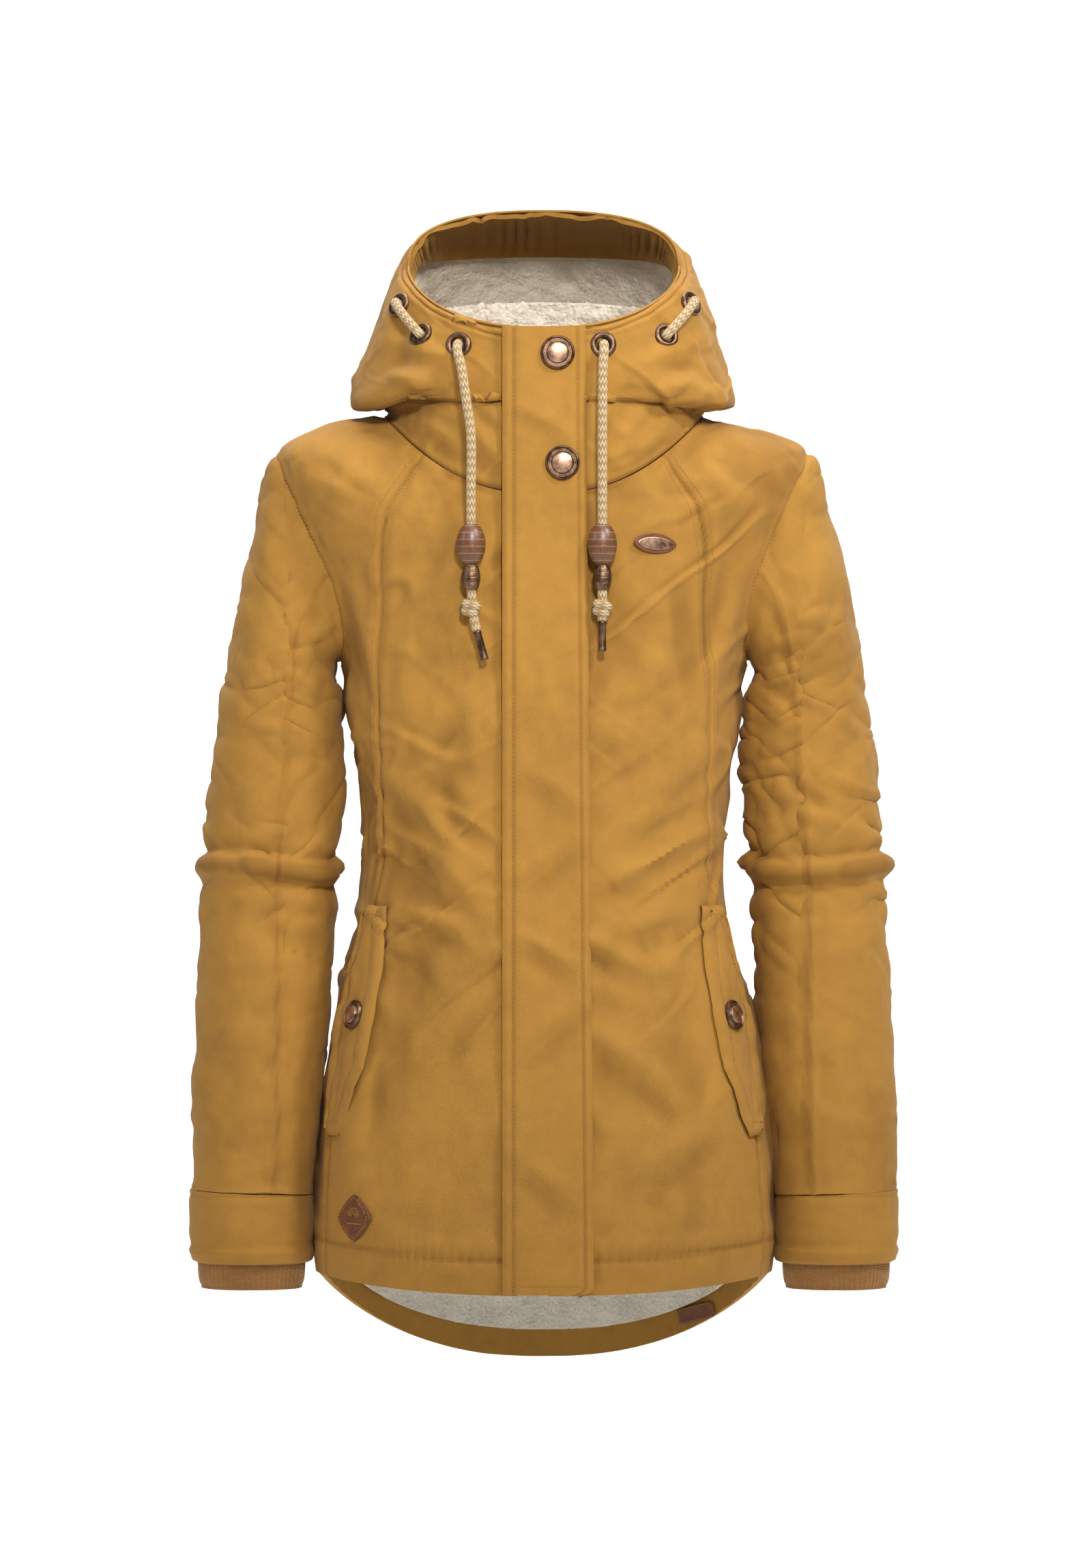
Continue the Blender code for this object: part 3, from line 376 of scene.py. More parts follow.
def resample(grid, rows, columns, wrap=False):
    """A finer grid from a coarse one, by Catmull-Rom curves along the rows and then the columns."""
    if wrap:
        grid = np.concatenate([grid[:, -2:], grid, grid[:, :3]], axis=1)
        across = 2 + np.arange(columns) * (grid.shape[1] - 5) / columns
    else:
        across = np.linspace(0, grid.shape[1] - 1, columns)
    flat = spline_rows(grid.reshape(grid.shape[0], -1), np.linspace(0, grid.shape[0] - 1, rows))
    flat = flat.reshape(rows, grid.shape[1], -1).swapaxes(0, 1)
    fine = spline_rows(flat.reshape(grid.shape[1], -1), across).reshape(columns, rows, -1)
    return fine.swapaxes(0, 1)


def value_noise(points, cell, seed, octaves=3):
    """Smooth noise in space: random values on a lattice of the given cell, blended by smooth steps."""
    lattice = np.random.default_rng(seed).uniform(-1, 1, (32, 32, 32))
    total = np.zeros(points.shape[:-1])
    weight = 1.0
    for _ in range(octaves):
        p = points / cell + 100.0
        base = np.floor(p).astype(int)
        f = p - base
        f = f * f * (3 - 2 * f)
        for corner in range(8):
            o = np.array([corner & 1, corner >> 1 & 1, corner >> 2 & 1])
            index = (base + o) % 32
            share = np.prod(np.where(o == 1, f, 1 - f), axis=-1)
            total += weight * share * lattice[index[..., 0], index[..., 1], index[..., 2]]
        cell = cell / 2.1
        weight *= 0.5
    return total


def bump(x, width):
    """A smooth bell, one at zero and gone at about twice the width."""
    return np.exp(-(x / width) ** 2)


print("helpers ready")
# %% [markdown]
# ## Camera, floor and light
# The jacket hangs in front of a pale sweep of paper that curves up behind it. The camera is level and six
# metres away, as for a catalogue, and three large soft lamps leave gentle shadows in the folds.

# %% Camera and studio
CAMERA_HEIGHT = 0.4447
CAMERA_DISTANCE = 6.06
LENS = 177.3

camera_data = bpy.data.cameras.new("camera")
camera_data.lens = LENS
camera_data.sensor_width = 36
camera_data.clip_end = 50
camera = bpy.data.objects.new("camera", camera_data)
camera.location = Vector((0.0005, -CAMERA_DISTANCE, CAMERA_HEIGHT)) + Vector(SHIFT)
camera.rotation_euler = (math.radians(90), 0, 0)
bpy.context.scene.collection.objects.link(camera)
bpy.context.scene.camera = camera
bpy.context.scene.view_settings.view_transform = "Standard"


def backdrop(half_width=9.0, near=-7.0, far=3.5, height=7.0, bend=1.5, columns=9, rows=60):
    """A floor that turns up into a wall: a straight run, a quarter circle and a straight rise."""
    flat, arc = far - bend - near, bend * math.pi / 2
    s = np.linspace(0, flat + arc + height, rows)
    angle = np.clip((s - flat) / bend, 0, math.pi / 2)
    y = near + np.minimum(s, flat) + bend * np.sin(angle)
    z = bend * (1 - np.cos(angle)) + np.maximum(s - flat - arc, 0) - 0.20
    x = np.linspace(-half_width, half_width, columns)
    grid = np.stack(np.broadcast_arrays(x[None, :], y[:, None], z[:, None]), axis=-1)
    return mesh_object("backdrop", grid, grid_quads(rows, columns))


def lamp(name, place, target, size, watts, colour=(1, 1, 1)):
    """A square soft lamp that looks at a target."""
    data = bpy.data.lights.new(name, "AREA")
    data.size = size
    data.energy = watts
    data.color = colour
    obj = bpy.data.objects.new(name, data)
    obj.location = Vector(place) + Vector(SHIFT)
    obj.rotation_euler = (Vector(target) - Vector(place)).to_track_quat("-Z", "Y").to_euler()
    bpy.context.scene.collection.objects.link(obj)
    return obj


def spot(name, place, target, degrees, watts):
    """A round soft-edged spotlight, brightest at its target and fading out towards its rim."""
    data = bpy.data.lights.new(name, "SPOT")
    data.spot_size = math.radians(degrees)
    data.spot_blend = 1.0
    data.shadow_soft_size = 0.16
    data.energy = watts
    obj = bpy.data.objects.new(name, data)
    obj.location = Vector(place) + Vector(SHIFT)
    obj.rotation_euler = (Vector(target) - Vector(place)).to_track_quat("-Z", "Y").to_euler()
    bpy.context.scene.collection.objects.link(obj)
    return obj


world = bpy.data.worlds.new("studio")
world.use_nodes = True
world.node_tree.nodes["Background"].inputs["Color"].default_value = (0.98, 0.99, 1.0, 1)
world.node_tree.nodes["Background"].inputs["Strength"].default_value = 0.23
bpy.context.scene.world = world
lamp("key_lamp", (1.5, -1.35, 2.35), (0, 0, 0.66), 0.5, 44)
spot("chest_lamp", (0.25, -1.9, 1.55), (0, 0, 0.56), 33, 150)
spot("hood_lamp", (0.0, -3.0, 0.72), (0, 0, 0.885), 8, 30)
lamp("fill_lamp", (-2.6, -1.6, 2.0), (0, 0, 0.6), 0.8, 19)
lamp("wall_lamp", (0.0, 1.4, 4.6), (0, 3.4, 0.8), 3.0, 210)
lamp("top_lamp", (0.0, -0.6, 3.2), (0, 0, 0.5), 1.2, 22)
paper = backdrop()
paper_finish = bpy.data.materials.new("white_paper")
paper_finish.use_nodes = True
paper_finish.node_tree.nodes["Principled BSDF"].inputs["Base Color"].default_value = (0.93, 0.93, 0.92, 1)
paper_finish.node_tree.nodes["Principled BSDF"].inputs["Roughness"].default_value = 0.9
paper.data.materials.append(paper_finish)
print("camera at", tuple(round(c, 3) for c in camera.location))

# %% [markdown]
# ## Finishes
# Painted shade from a point attribute darkens the twill in its seams and fold valleys.
# The shell is a brushed twill: a fine diagonal weave, a little sheen on the fold crests and cloudy changes
# of colour from dyeing. Fleece is a short pile with tufts. The cord is a herringbone braid of two yarns.
# Each finish is a small node tree, and a helper wires the common part of it.

# %% Material helpers
def finish(name, colour, roughness, metallic=0.0, sheen=0.0):
    """A Principled material; returns the material, its tree and its shader."""
    material = bpy.data.materials.new(name)
    material.use_nodes = True
    shader = material.node_tree.nodes["Principled BSDF"]
    shader.inputs["Base Color"].default_value = (*colour, 1)
    shader.inputs["Roughness"].default_value = roughness
    shader.inputs["Metallic"].default_value = metallic
    if sheen:
        shader.inputs["Sheen Weight"].default_value = sheen
        shader.inputs["Sheen Roughness"].default_value = 0.45
        shader.inputs["Sheen Tint"].default_value = (1.0, 0.86, 0.62, 1)
    return material, material.node_tree, shader


def node(tree, kind, settings=None, **inputs):
    """A node with its settings and its input values or links."""
    made = tree.nodes.new("ShaderNode" + kind)
    for key, value in (settings or {}).items():
        setattr(made, key, value)
    for key, value in inputs.items():
        socket = made.inputs[int(key[1:])] if key[0] == "i" and key[1:].isdigit() else made.inputs[key]
        if isinstance(value, bpy.types.NodeSocket):
            tree.links.new(value, socket)
        else:
            socket.default_value = value
    return made


def noise(tree, where, scale, detail=3.0, roughness=0.55):
    """The factor of a noise texture at a scale in cycles per metre."""
    made = node(tree, "TexNoise", Vector=where, Scale=scale, Detail=detail, Roughness=roughness)
    return made.outputs["Factor" if "Factor" in made.outputs else "Fac"]


def ramp(tree, factor, stops):
    """A colour ramp from (position, colour) stops."""
    made = node(tree, "ValToRGB", Fac=factor)
    elements = made.color_ramp.elements
    while len(elements) < len(stops):
        elements.new(0.5)
    for element, (position, colour) in zip(elements, stops):
        element.position = position
        element.color = (*colour, 1)
    return made.outputs["Color"]


def math_node(tree, operation, first, second=0.0):
    """One arithmetic node."""
    return node(tree, "Math", {"operation": operation}, i0=first, i1=second).outputs[0]


def scaled(colour, factor):
    """A colour made lighter or darker."""
    return tuple(min(1.0, c * factor) for c in colour)


def add_bump(tree, shader, layers):
    """Chains bump nodes from (height, strength, distance in metres) layers."""
    normal = None
    for height, strength, distance in layers:
        values = dict(Height=height, Strength=strength, Distance=distance)
        if normal is not None:
            values["Normal"] = normal
        normal = node(tree, "Bump", **values).outputs["Normal"]
    tree.links.new(normal, shader.inputs["Normal"])


# %% Cloth finishes
def twill(name, colour, thread=0.0009, sheen=0.08, wash=0.13):
    """Brushed twill: diagonal ribs on the cloth's own UV in metres, yarn noise, and clouded dyeing.
    A point attribute of painted shade darkens its colour in seams and fold valleys.
    """
    material, tree, shader = finish(name, colour, 0.86, sheen=sheen)
    shader.inputs["Specular IOR Level"].default_value = 0.22
    where = node(tree, "TexCoord").outputs["Object"]
    uv = node(tree, "UVMap", {"uv_map": "cloth"}).outputs["UV"]
    turned = node(tree, "Mapping", Vector=uv, Rotation=(0, 0, math.radians(27))).outputs["Vector"]
    ribs = node(tree, "TexWave", {"wave_type": "BANDS", "bands_direction": "X"}, Vector=turned,
                Scale=1 / thread / 20 * 6.2832, Distortion=1.2, Detail=1.0).outputs["Fac"]
    clouds = noise(tree, where, 9.0, 4.0)
    mottle = noise(tree, where, 70.0, 3.0)
    yarn = noise(tree, where, 900.0, 2.0)
    mix = math_node(tree, "ADD", math_node(tree, "MULTIPLY", clouds, 0.45),
                    math_node(tree, "MULTIPLY", mottle, 0.35))
    mix = math_node(tree, "ADD", mix, math_node(tree, "MULTIPLY", yarn, 0.20))
    base = ramp(tree, mix, [(0.30, scaled(colour, 1 - 1.4 * wash)), (0.5, colour),
                            (0.72, scaled(colour, 1 + 1.3 * wash))])
    # Painted shade: the point attribute multiplies the colour towards a dull brown in seams, fold valleys and
    # along the hood's neck seam.
    painted_shade = node(tree, "Attribute", {"attribute_name": "painted_shade"}).outputs["Fac"]
    shaded_colour = node(tree, "Mix", {"data_type": "RGBA", "blend_type": "MULTIPLY"}, i0=painted_shade)
    tree.links.new(base, shaded_colour.inputs[6])
    shaded_colour.inputs[7].default_value = (0.45, 0.38, 0.28, 1)
    tree.links.new(shaded_colour.outputs[2], shader.inputs["Base Color"])
    rough = node(tree, "MapRange", Value=mottle, i3=0.78, i4=0.94).outputs[0]
    tree.links.new(rough, shader.inputs["Roughness"])
    add_bump(tree, shader, [(mottle, 0.30, 0.0012), (yarn, 0.35, 0.0004), (ribs, 0.40, 0.00025)])
    return material


def fleece_finish(name, colour):
    """Short pile: curly tufts from a distorted noise, darker between tufts."""
    material, tree, shader = finish(name, colour, 0.95, sheen=0.35)
    where = node(tree, "TexCoord").outputs["Object"]
    tufts = node(tree, "TexVoronoi", {"feature": "SMOOTH_F1"}, Vector=where, Scale=330.0,
                 Smoothness=0.6).outputs["Distance"]
    curl = noise(tree, where, 420.0, 4.0, 0.65)
    clumps = noise(tree, where, 45.0, 3.0)
    mix = math_node(tree, "ADD", math_node(tree, "MULTIPLY", curl, 0.6),
                    math_node(tree, "MULTIPLY", clumps, 0.4))
    base = ramp(tree, mix, [(0.32, scaled(colour, 0.72)), (0.5, colour), (0.68, scaled(colour, 1.14))])
    tree.links.new(base, shader.inputs["Base Color"])
    add_bump(tree, shader, [(clumps, 0.6, 0.004), (curl, 0.8, 0.0016), (tufts, 0.5, 0.0012)])
    return material


def rib_finish(name, colour):
    """Rib knit: stitches in columns on the cuff's own UV, with a darker groove between ribs."""
    material, tree, shader = finish(name, colour, 0.9, sheen=0.3)
    where = node(tree, "TexCoord").outputs["Object"]
    uv = node(tree, "UVMap", {"uv_map": "cloth"}).outputs["UV"]
    loops = node(tree, "TexWave", {"wave_type": "BANDS", "bands_direction": "Y"}, Vector=uv, Scale=180.0,
                 Distortion=2.0, Detail=1.0).outputs["Fac"]
    fuzz = noise(tree, where, 500.0, 3.0)
    clouds = noise(tree, where, 40.0, 3.0)
    mix = math_node(tree, "ADD", math_node(tree, "MULTIPLY", fuzz, 0.5),
                    math_node(tree, "MULTIPLY", clouds, 0.5))
    base = ramp(tree, mix, [(0.3, scaled(colour, 0.75)), (0.55, colour), (0.75, scaled(colour, 1.2))])
    tree.links.new(base, shader.inputs["Base Color"])
    add_bump(tree, shader, [(loops, 0.5, 0.0006), (fuzz, 0.5, 0.0006)])
    return material


def braid_finish(name, light, dark):
    """Herringbone braid: two sets of diagonal strands on the tube's UV (turns, metres)."""
    material, tree, shader = finish(name, light, 0.88, sheen=0.2)
    where = node(tree, "TexCoord").outputs["Object"]
    uv = node(tree, "UVMap", {"uv_map": "cloth"}).outputs["UV"]
    split = node(tree, "SeparateXYZ", Vector=uv)
    around, along = split.outputs["X"], split.outputs["Y"]
    lean = math_node(tree, "ABSOLUTE", math_node(tree, "SUBTRACT", math_node(tree, "FRACT",
                     math_node(tree, "MULTIPLY", around, 4.0)), 0.5))
    phase = math_node(tree, "ADD", math_node(tree, "MULTIPLY", along, 330.0),
                      math_node(tree, "MULTIPLY", lean, 2.4))
    strand = math_node(tree, "FRACT", phase)
    ridge = math_node(tree, "SINE", math_node(tree, "MULTIPLY", strand, math.pi))
    pick = math_node(tree, "GREATER_THAN", math_node(tree, "FRACT", math_node(tree, "MULTIPLY", phase, 0.5)),
                     0.5)
    fuzz = noise(tree, where, 1100.0, 2.0)
    mixed = node(tree, "Mix", {"data_type": "RGBA"}, i0=pick)
    mixed.inputs[6].default_value = (*light, 1)
    mixed.inputs[7].default_value = (*dark, 1)
    shade = ramp(tree, math_node(tree, "ADD", math_node(tree, "MULTIPLY", ridge, 0.7),
                                 math_node(tree, "MULTIPLY", fuzz, 0.3)),
                 [(0.1, (0.45, 0.42, 0.38)), (0.5, (1, 1, 1))])
    both = node(tree, "Mix", {"data_type": "RGBA", "blend_type": "MULTIPLY"}, i0=1.0)
    tree.links.new(mixed.outputs[2], both.inputs[6])
    tree.links.new(shade, both.inputs[7])
    tree.links.new(both.outputs[2], shader.inputs["Base Color"])
    add_bump(tree, shader, [(ridge, 0.8, 0.0006), (fuzz, 0.3, 0.0003)])
    return material


# %% Metal, leather and resin finishes
def metal_finish(name, colour, roughness, dark, brush=240.0):
    """Antique metal: bright and dark in the clouds of its patina."""
    material, tree, shader = finish(name, colour, roughness, metallic=1.0)
    where = node(tree, "TexCoord").outputs["Object"]
    clouds = noise(tree, where, 160.0, 4.0)
    grain = noise(tree, where, brush * 4, 2.0)
    base = ramp(tree, clouds, [(0.35, dark), (0.6, colour), (0.8, scaled(colour, 1.25))])
    tree.links.new(base, shader.inputs["Base Color"])
    rough = node(tree, "MapRange", Value=clouds, i3=roughness * 0.75, i4=roughness * 1.35).outputs[0]
    tree.links.new(rough, shader.inputs["Roughness"])
    add_bump(tree, shader, [(grain, 0.15, 0.0002)])
    return material


def leather_finish(name, colour):
    """Imitation leather: small cells with creases, and clouded colour."""
    material, tree, shader = finish(name, colour, 0.55)
    where = node(tree, "TexCoord").outputs["Object"]
    cells = node(tree, "TexVoronoi", {"feature": "DISTANCE_TO_EDGE"}, Vector=where, Scale=900.0)
    clouds = noise(tree, where, 130.0, 3.0)
    base = ramp(tree, clouds, [(0.3, scaled(colour, 0.65)), (0.55, colour), (0.8, scaled(colour, 1.5))])
    tree.links.new(base, shader.inputs["Base Color"])
    add_bump(tree, shader, [(cells.outputs["Distance"], 0.5, 0.0004), (clouds, 0.3, 0.0006)])
    return material


def bead_finish(name, colour):
    """Wood-look resin: stretched grain along the bead under a satin coat, with fine turned lines."""
    material, tree, shader = finish(name, colour, 0.42)
    where = node(tree, "TexCoord").outputs["Object"]
    grainy = node(tree, "Mapping", Vector=where, Scale=(1.0, 1.0, 0.18)).outputs["Vector"]
    grain = noise(tree, grainy, 700.0, 4.0)
    turned = node(tree, "TexWave", {"wave_type": "BANDS", "bands_direction": "Z"}, Vector=where,
                  Scale=58.0, Distortion=0.0).outputs["Fac"]
    lines = ramp(tree, turned, [(0.90, (0, 0, 0)), (0.98, (1, 1, 1))])
    base = ramp(tree, grain, [(0.3, scaled(colour, 0.6)), (0.55, colour), (0.8, scaled(colour, 1.5))])
    mixed = node(tree, "Mix", {"data_type": "RGBA"}, i0=math_node(tree, "MULTIPLY", lines, 0.22))
    tree.links.new(base, mixed.inputs[6])
    mixed.inputs[7].default_value = (0.50, 0.33, 0.18, 1)
    tree.links.new(mixed.outputs[2], shader.inputs["Base Color"])
    shader.inputs["Coat Weight"].default_value = 0.25
    shader.inputs["Coat Roughness"].default_value = 0.3
    add_bump(tree, shader, [(grain, 0.12, 0.0003), (lines, 0.25, 0.0002)])
    return material


MUSTARD = (0.330, 0.161, 0.0270)
shell_cloth = twill("mustard_twill", MUSTARD)
facing_cloth = twill("mustard_facing", scaled(MUSTARD, 0.92))
rib_knit = rib_finish("rib_knit", (0.27, 0.118, 0.026))
fleece = fleece_finish("cream_fleece", (0.70, 0.61, 0.49))
hem_fleece = fleece_finish("hem_fleece", (0.60, 0.55, 0.46))
thread = twill("sewing_thread", (0.36, 0.17, 0.035), thread=0.0004, wash=0.05)
cord_braid = braid_finish("cord_braid", (0.56, 0.44, 0.27), (0.36, 0.21, 0.08))
copper = metal_finish("antique_copper", (0.50, 0.31, 0.21), 0.38, (0.24, 0.13, 0.08))
bronze = metal_finish("dark_bronze", (0.20, 0.115, 0.07), 0.40, (0.06, 0.035, 0.022))
brown_leather = leather_finish("brown_leather", (0.13, 0.036, 0.006))
bead_resin = bead_finish("bead_resin", (0.12, 0.042, 0.012))
tape_cloth = twill("zip_tape_cloth", (0.20, 0.11, 0.035), thread=0.0006)
patch_cloth = twill("patch_cloth", (0.72, 0.70, 0.66), thread=0.0007)
print("finishes:", len(bpy.data.materials))


def dress(obj, material, slot_name, body_name, *nodes):
    """Gives a piece its finish and its body, and hides the model nodes that it stands for. The slot name is
    not used.
    """
    obj.data.materials.clear()
    obj.data.materials.append(material)
    if body_name:
        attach(obj, body_name)
    if nodes:
        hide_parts(*nodes)
    return obj


# %% [markdown]
# ## The two hanging cords
# Each cord comes out of an eyelet in the collar, falls clear of the chest, runs through two beads, makes an
# overhand knot and ends in a metal tip. Its route is a short list of points joined by one smooth curve,
# because a hanging cord is a plumb line with one soft bend at the top.

# %% Cord route
CORD_RADIUS = 0.0037
EYELET_HEIGHT = 0.7830
EYELET_X = {"right": -0.0645, "left": 0.0450}
HANG_X = {"right": -0.0560, "left": 0.0450}


def solve_front(table, x, z, last, start=math.radians(45)):
    """Angle and row of the surface point with a given x and height, by turns of halving."""
    surface = hood if table is HOOD_RINGS else body
    x, z = np.broadcast_arrays(np.asarray(x, float), np.asarray(z, float))
    theta = np.full(x.shape, start)
    for _ in range(8):
        low, high = np.zeros(x.shape), np.full(x.shape, float(last))
        for _ in range(26):
            middle = (low + high) / 2
            below = surface(theta, middle)[..., 2] < z
            low, high = np.where(below, middle, low), np.where(below, high, middle)
        row = (low + high) / 2
        theta = angle_at_x(table, np.abs(x), row)
    return np.sign(x) * theta, row


def surface_normal(surface, theta, v, step=1e-3):
    """Unit normal of a ring surface, from two small differences."""
    along = surface(theta + step, v) - surface(theta - step, v)
    up = surface(theta, v + step) - surface(theta, v - step)
    normal = np.cross(along, up)
    return normal / np.linalg.norm(normal, axis=-1, keepdims=True)


def hood_spot(x, z):
    """Point and normal of the hood's ring surface at an x and a height."""
    theta, v = solve_front(HOOD_RINGS, x, z, 8)
    return hood(theta, v), surface_normal(hood, theta, v)


def smooth_path(points, spacing):
    """Even points along the Catmull-Rom curve through a route."""
    points = np.asarray(points, float)
    dense = spline_rows(points, np.linspace(0, len(points) - 1, 40 * len(points)))
    run = np.concatenate([[0], np.cumsum(np.linalg.norm(np.diff(dense, axis=0), axis=1))])
    marks = np.linspace(0, run[-1], max(2, int(round(run[-1] / spacing)) + 1))
    return np.stack([np.interp(marks, run, dense[:, k]) for k in range(3)], axis=1)


def tube_uv(path, sides, stretch=1.0):
    """UV of a tube: turns round it, and metres along it."""
    run = np.concatenate([[0], np.cumsum(np.linalg.norm(np.diff(path, axis=0), axis=1))])
    around = np.abs(np.linspace(-1, 1, sides + 1)[:-1])
    ring = np.stack(np.meshgrid(around, run * stretch), axis=-1).reshape(-1, 2)
    return np.concatenate([ring, [[0, 0], [0, run[-1]]]])


def cord_route(side):
    """The hanging cord's own points, from just outside its eyelet to the start of its tip."""
    point, normal = hood_spot(EYELET_X[side], EYELET_HEIGHT)
    x = HANG_X[side]
    start, out = point + normal * 0.0022, point + normal * 0.0062
    y = front_y(0.630) - 0.0100
    run = y - start[1]
    route = [start, out, (out[0], start[1] + 0.52 * run, start[2] - 0.0055),
             (start[0] * 0.8 + x * 0.2, start[1] + 0.74 * run, start[2] - 0.0185),
             (start[0] * 0.4 + x * 0.6, start[1] + 0.92 * run, 0.740),
             (x, y, 0.712), (x, y, 0.670), (x, y, 0.630), (x, y, 0.598), (x, y, 0.570)]
    if side == "right":
        route[-1] = (x + 0.002, y, 0.5735)
        route.append((x + 0.0045, y, 0.5625))
    return route


def knot_path(middle):
    """An overhand knot pulled tight: almost two turns round the cord, and a strand laid across them."""
    t = np.linspace(0, 1, 70)
    turn = 2 * np.pi * 1.9 * t + 0.6
    wide = 0.0046 * np.sin(np.pi * np.clip(t, 0.02, 0.98)) ** 0.25
    path = np.stack([wide * np.cos(turn), wide * 0.85 * np.sin(turn), 0.0052 - 0.0104 * t], axis=1)
    return path + np.asarray(middle)


cords = {}
for side, sign in SIDES:
    path = smooth_path(cord_route(side), 0.0016)
    cord = tube_object("cord_" + side, path, np.full(len(path), CORD_RADIUS), 20, uv=tube_uv(path, 20))
    dress(cord, cord_braid, "cord_yarn", "drawcord_" + side, "drawcord_" + side)
    centre = np.array([HANG_X[side], front_y(0.630) - 0.0100, 0.5805])
    knot = knot_path(centre)
    knot_obj = tube_object("cord_knot_" + side, knot, np.full(len(knot), 0.0035), 16, uv=tube_uv(knot, 16))
    dress(knot_obj, cord_braid, "cord_yarn", "drawcord_" + side)
    lean = path[-1] - path[-4]
    tip = np.array([[0.0, 0.0], [0.0029, 0.0], [0.0032, 0.0006], [0.0032, 0.0016], [0.0029, 0.0022],
                    [0.0029, 0.0205], [0.0031, 0.0212], [0.0031, 0.0224], [0.0026, 0.0230], [0.0, 0.0230]])
    aglet = lathe_object("cord_tip_" + side, tip, path[-1] + lean / np.linalg.norm(lean) * 0.0003, lean, 40)
    dress(aglet, bronze, "dark_metal", "drawcord_" + side, "cord_aglet_" + side)
    cords[side] = (cord, path, knot_obj, aglet)
    print("cord", side, "length", round(float(np.linalg.norm(np.diff(path, axis=0), axis=1).sum()), 4))


# %% Beads
def bead(name, place, radius, half, flatten, grooves):
    """An olive: the radius follows a cosine of the height, with turned grooves and a bore."""
    t = np.linspace(-1, 1, 61)
    edge = math.acos(0.0050 / radius)
    swell = radius * np.cos(edge * t) - grooves * (np.cos(14 * np.pi * t) > 0.93) * (np.abs(t) < 0.93)
    height = half * np.sin(edge * t) / math.sin(edge)
    outline = np.stack([swell, height], axis=1)
    bore = np.array([[0.0045, half * 0.985], [0.0045, -half * 0.985]])
    profile = np.concatenate([outline, bore, outline[:1]])
    return lathe_object(name, profile, place, (0, 0, 1), 72, flatten)


for side, sign in SIDES:
    hang = (HANG_X[side], front_y(0.630) - 0.0100)
    large = bead("bead_large_" + side, (*hang, 0.6290), 0.0113, 0.0155, 0.86, 0.00012)
    dress(large, bead_resin, "bead_brown", "bead_" + side, "cord_bead_" + side)
    little = bead("bead_small_" + side, (*hang, 0.6035), 0.0072, 0.0092, 1.0, 0.0002)
    dress(little, bronze, "antique_copper", "small_bead_" + side, "cord_small_bead_" + side)
    cord, path, knot_obj, aglet = cords[side]
print("beads and cords done")
# %% [markdown]
# ## Wrinkling cloth by simulation
# A sewn coat never lies as smooth as its pattern. Its cloth is a little longer than the seams that hold it,
# so it buckles between them. The helper below does just that: it turns a coarse grid into a cloth that is a
# few percent too large, pins it along its seams, puffs it with a little pressure and lets it settle. The
# finer grid is then drawn through the settled points, so seams and stitches can be added afterwards.

# %% Cloth simulation helper
def settle(name, grid, hold, growth, pressure, wrap=False, frames=20, limit=0.006):
    """Drapes a grid. hold is 1 where a seam pins the cloth; no point moves further than the limit."""
    rows, columns = grid.shape[:2]
    normals = grid_normals(grid, wrap)
    start = grid + normals * (0.0012 * value_noise(grid, 0.05, 3, 2))[..., None] * (1 - hold)[..., None]
    obj = mesh_object(name, start, grid_quads(rows, columns, wrap), shifted=False)
    group = obj.vertex_groups.new(name="sewn")
    flat = hold.reshape(-1)
    for level in (0.25, 0.5, 0.75, 1.0):
        chosen = np.nonzero(np.round(flat * 4) / 4 == level)[0]
        group.add(chosen.tolist(), level, "REPLACE")
    cloth = obj.modifiers.new("cloth", "CLOTH")
    settings = cloth.settings
    settings.quality = 6
    settings.mass = 0.2
    settings.tension_stiffness = 30
    settings.compression_stiffness = 30
    settings.shear_stiffness = 12
    settings.bending_stiffness = 1.5
    settings.vertex_group_mass = "sewn"
    settings.pin_stiffness = 3.0
    settings.shrink_min = -growth
    settings.use_pressure = True
    settings.uniform_pressure_force = pressure
    settings.effector_weights.gravity = 0.0
    cloth.point_cache.frame_start = 1
    cloth.point_cache.frame_end = frames
    scene = bpy.context.scene
    for frame_number in range(1, frames + 1):
        scene.frame_set(frame_number)
    evaluated = obj.evaluated_get(bpy.context.evaluated_depsgraph_get())
    moved = np.empty(rows * columns * 3, np.float32)
    evaluated.data.vertices.foreach_get("co", moved)
    bpy.data.objects.remove(obj, do_unlink=True)
    scene.frame_set(1)
    shift = moved.reshape(rows, columns, 3) - grid
    inward = np.clip(-(shift * normals).sum(axis=-1, keepdims=True), 0, None)
    shift = shift + normals * 0.8 * inward
    length = np.linalg.norm(shift, axis=-1, keepdims=True)
    shift = np.where(np.isfinite(length), shift, 0)
    length = np.where(np.isfinite(length), length, 0)
    loose = 1 - hold
    for _ in range(8):
        above, below = np.roll(loose, 1, axis=0), np.roll(loose, -1, axis=0)
        loose = (loose + above + below + np.roll(loose, 1, axis=1) + np.roll(loose, -1, axis=1)) / 5
    loose = np.clip(2 * loose - 1, 0, 1) * (hold < 1)
    print(name, "moved up to", round(float(length.max()) * 1000, 1), "mm, mean",
          round(float(length.mean()) * 1000, 1), "mm")
    shift = shift * (limit * np.tanh(length / limit) / np.maximum(length, 1e-9)) * loose[..., None]
    for _ in range(2):
        around = np.roll(shift, 1, axis=0) + np.roll(shift, -1, axis=0)
        around = around + np.roll(shift, 1, axis=1) + np.roll(shift, -1, axis=1)
        shift = (2 * shift + around) / 6
    return grid + shift * loose[..., None]


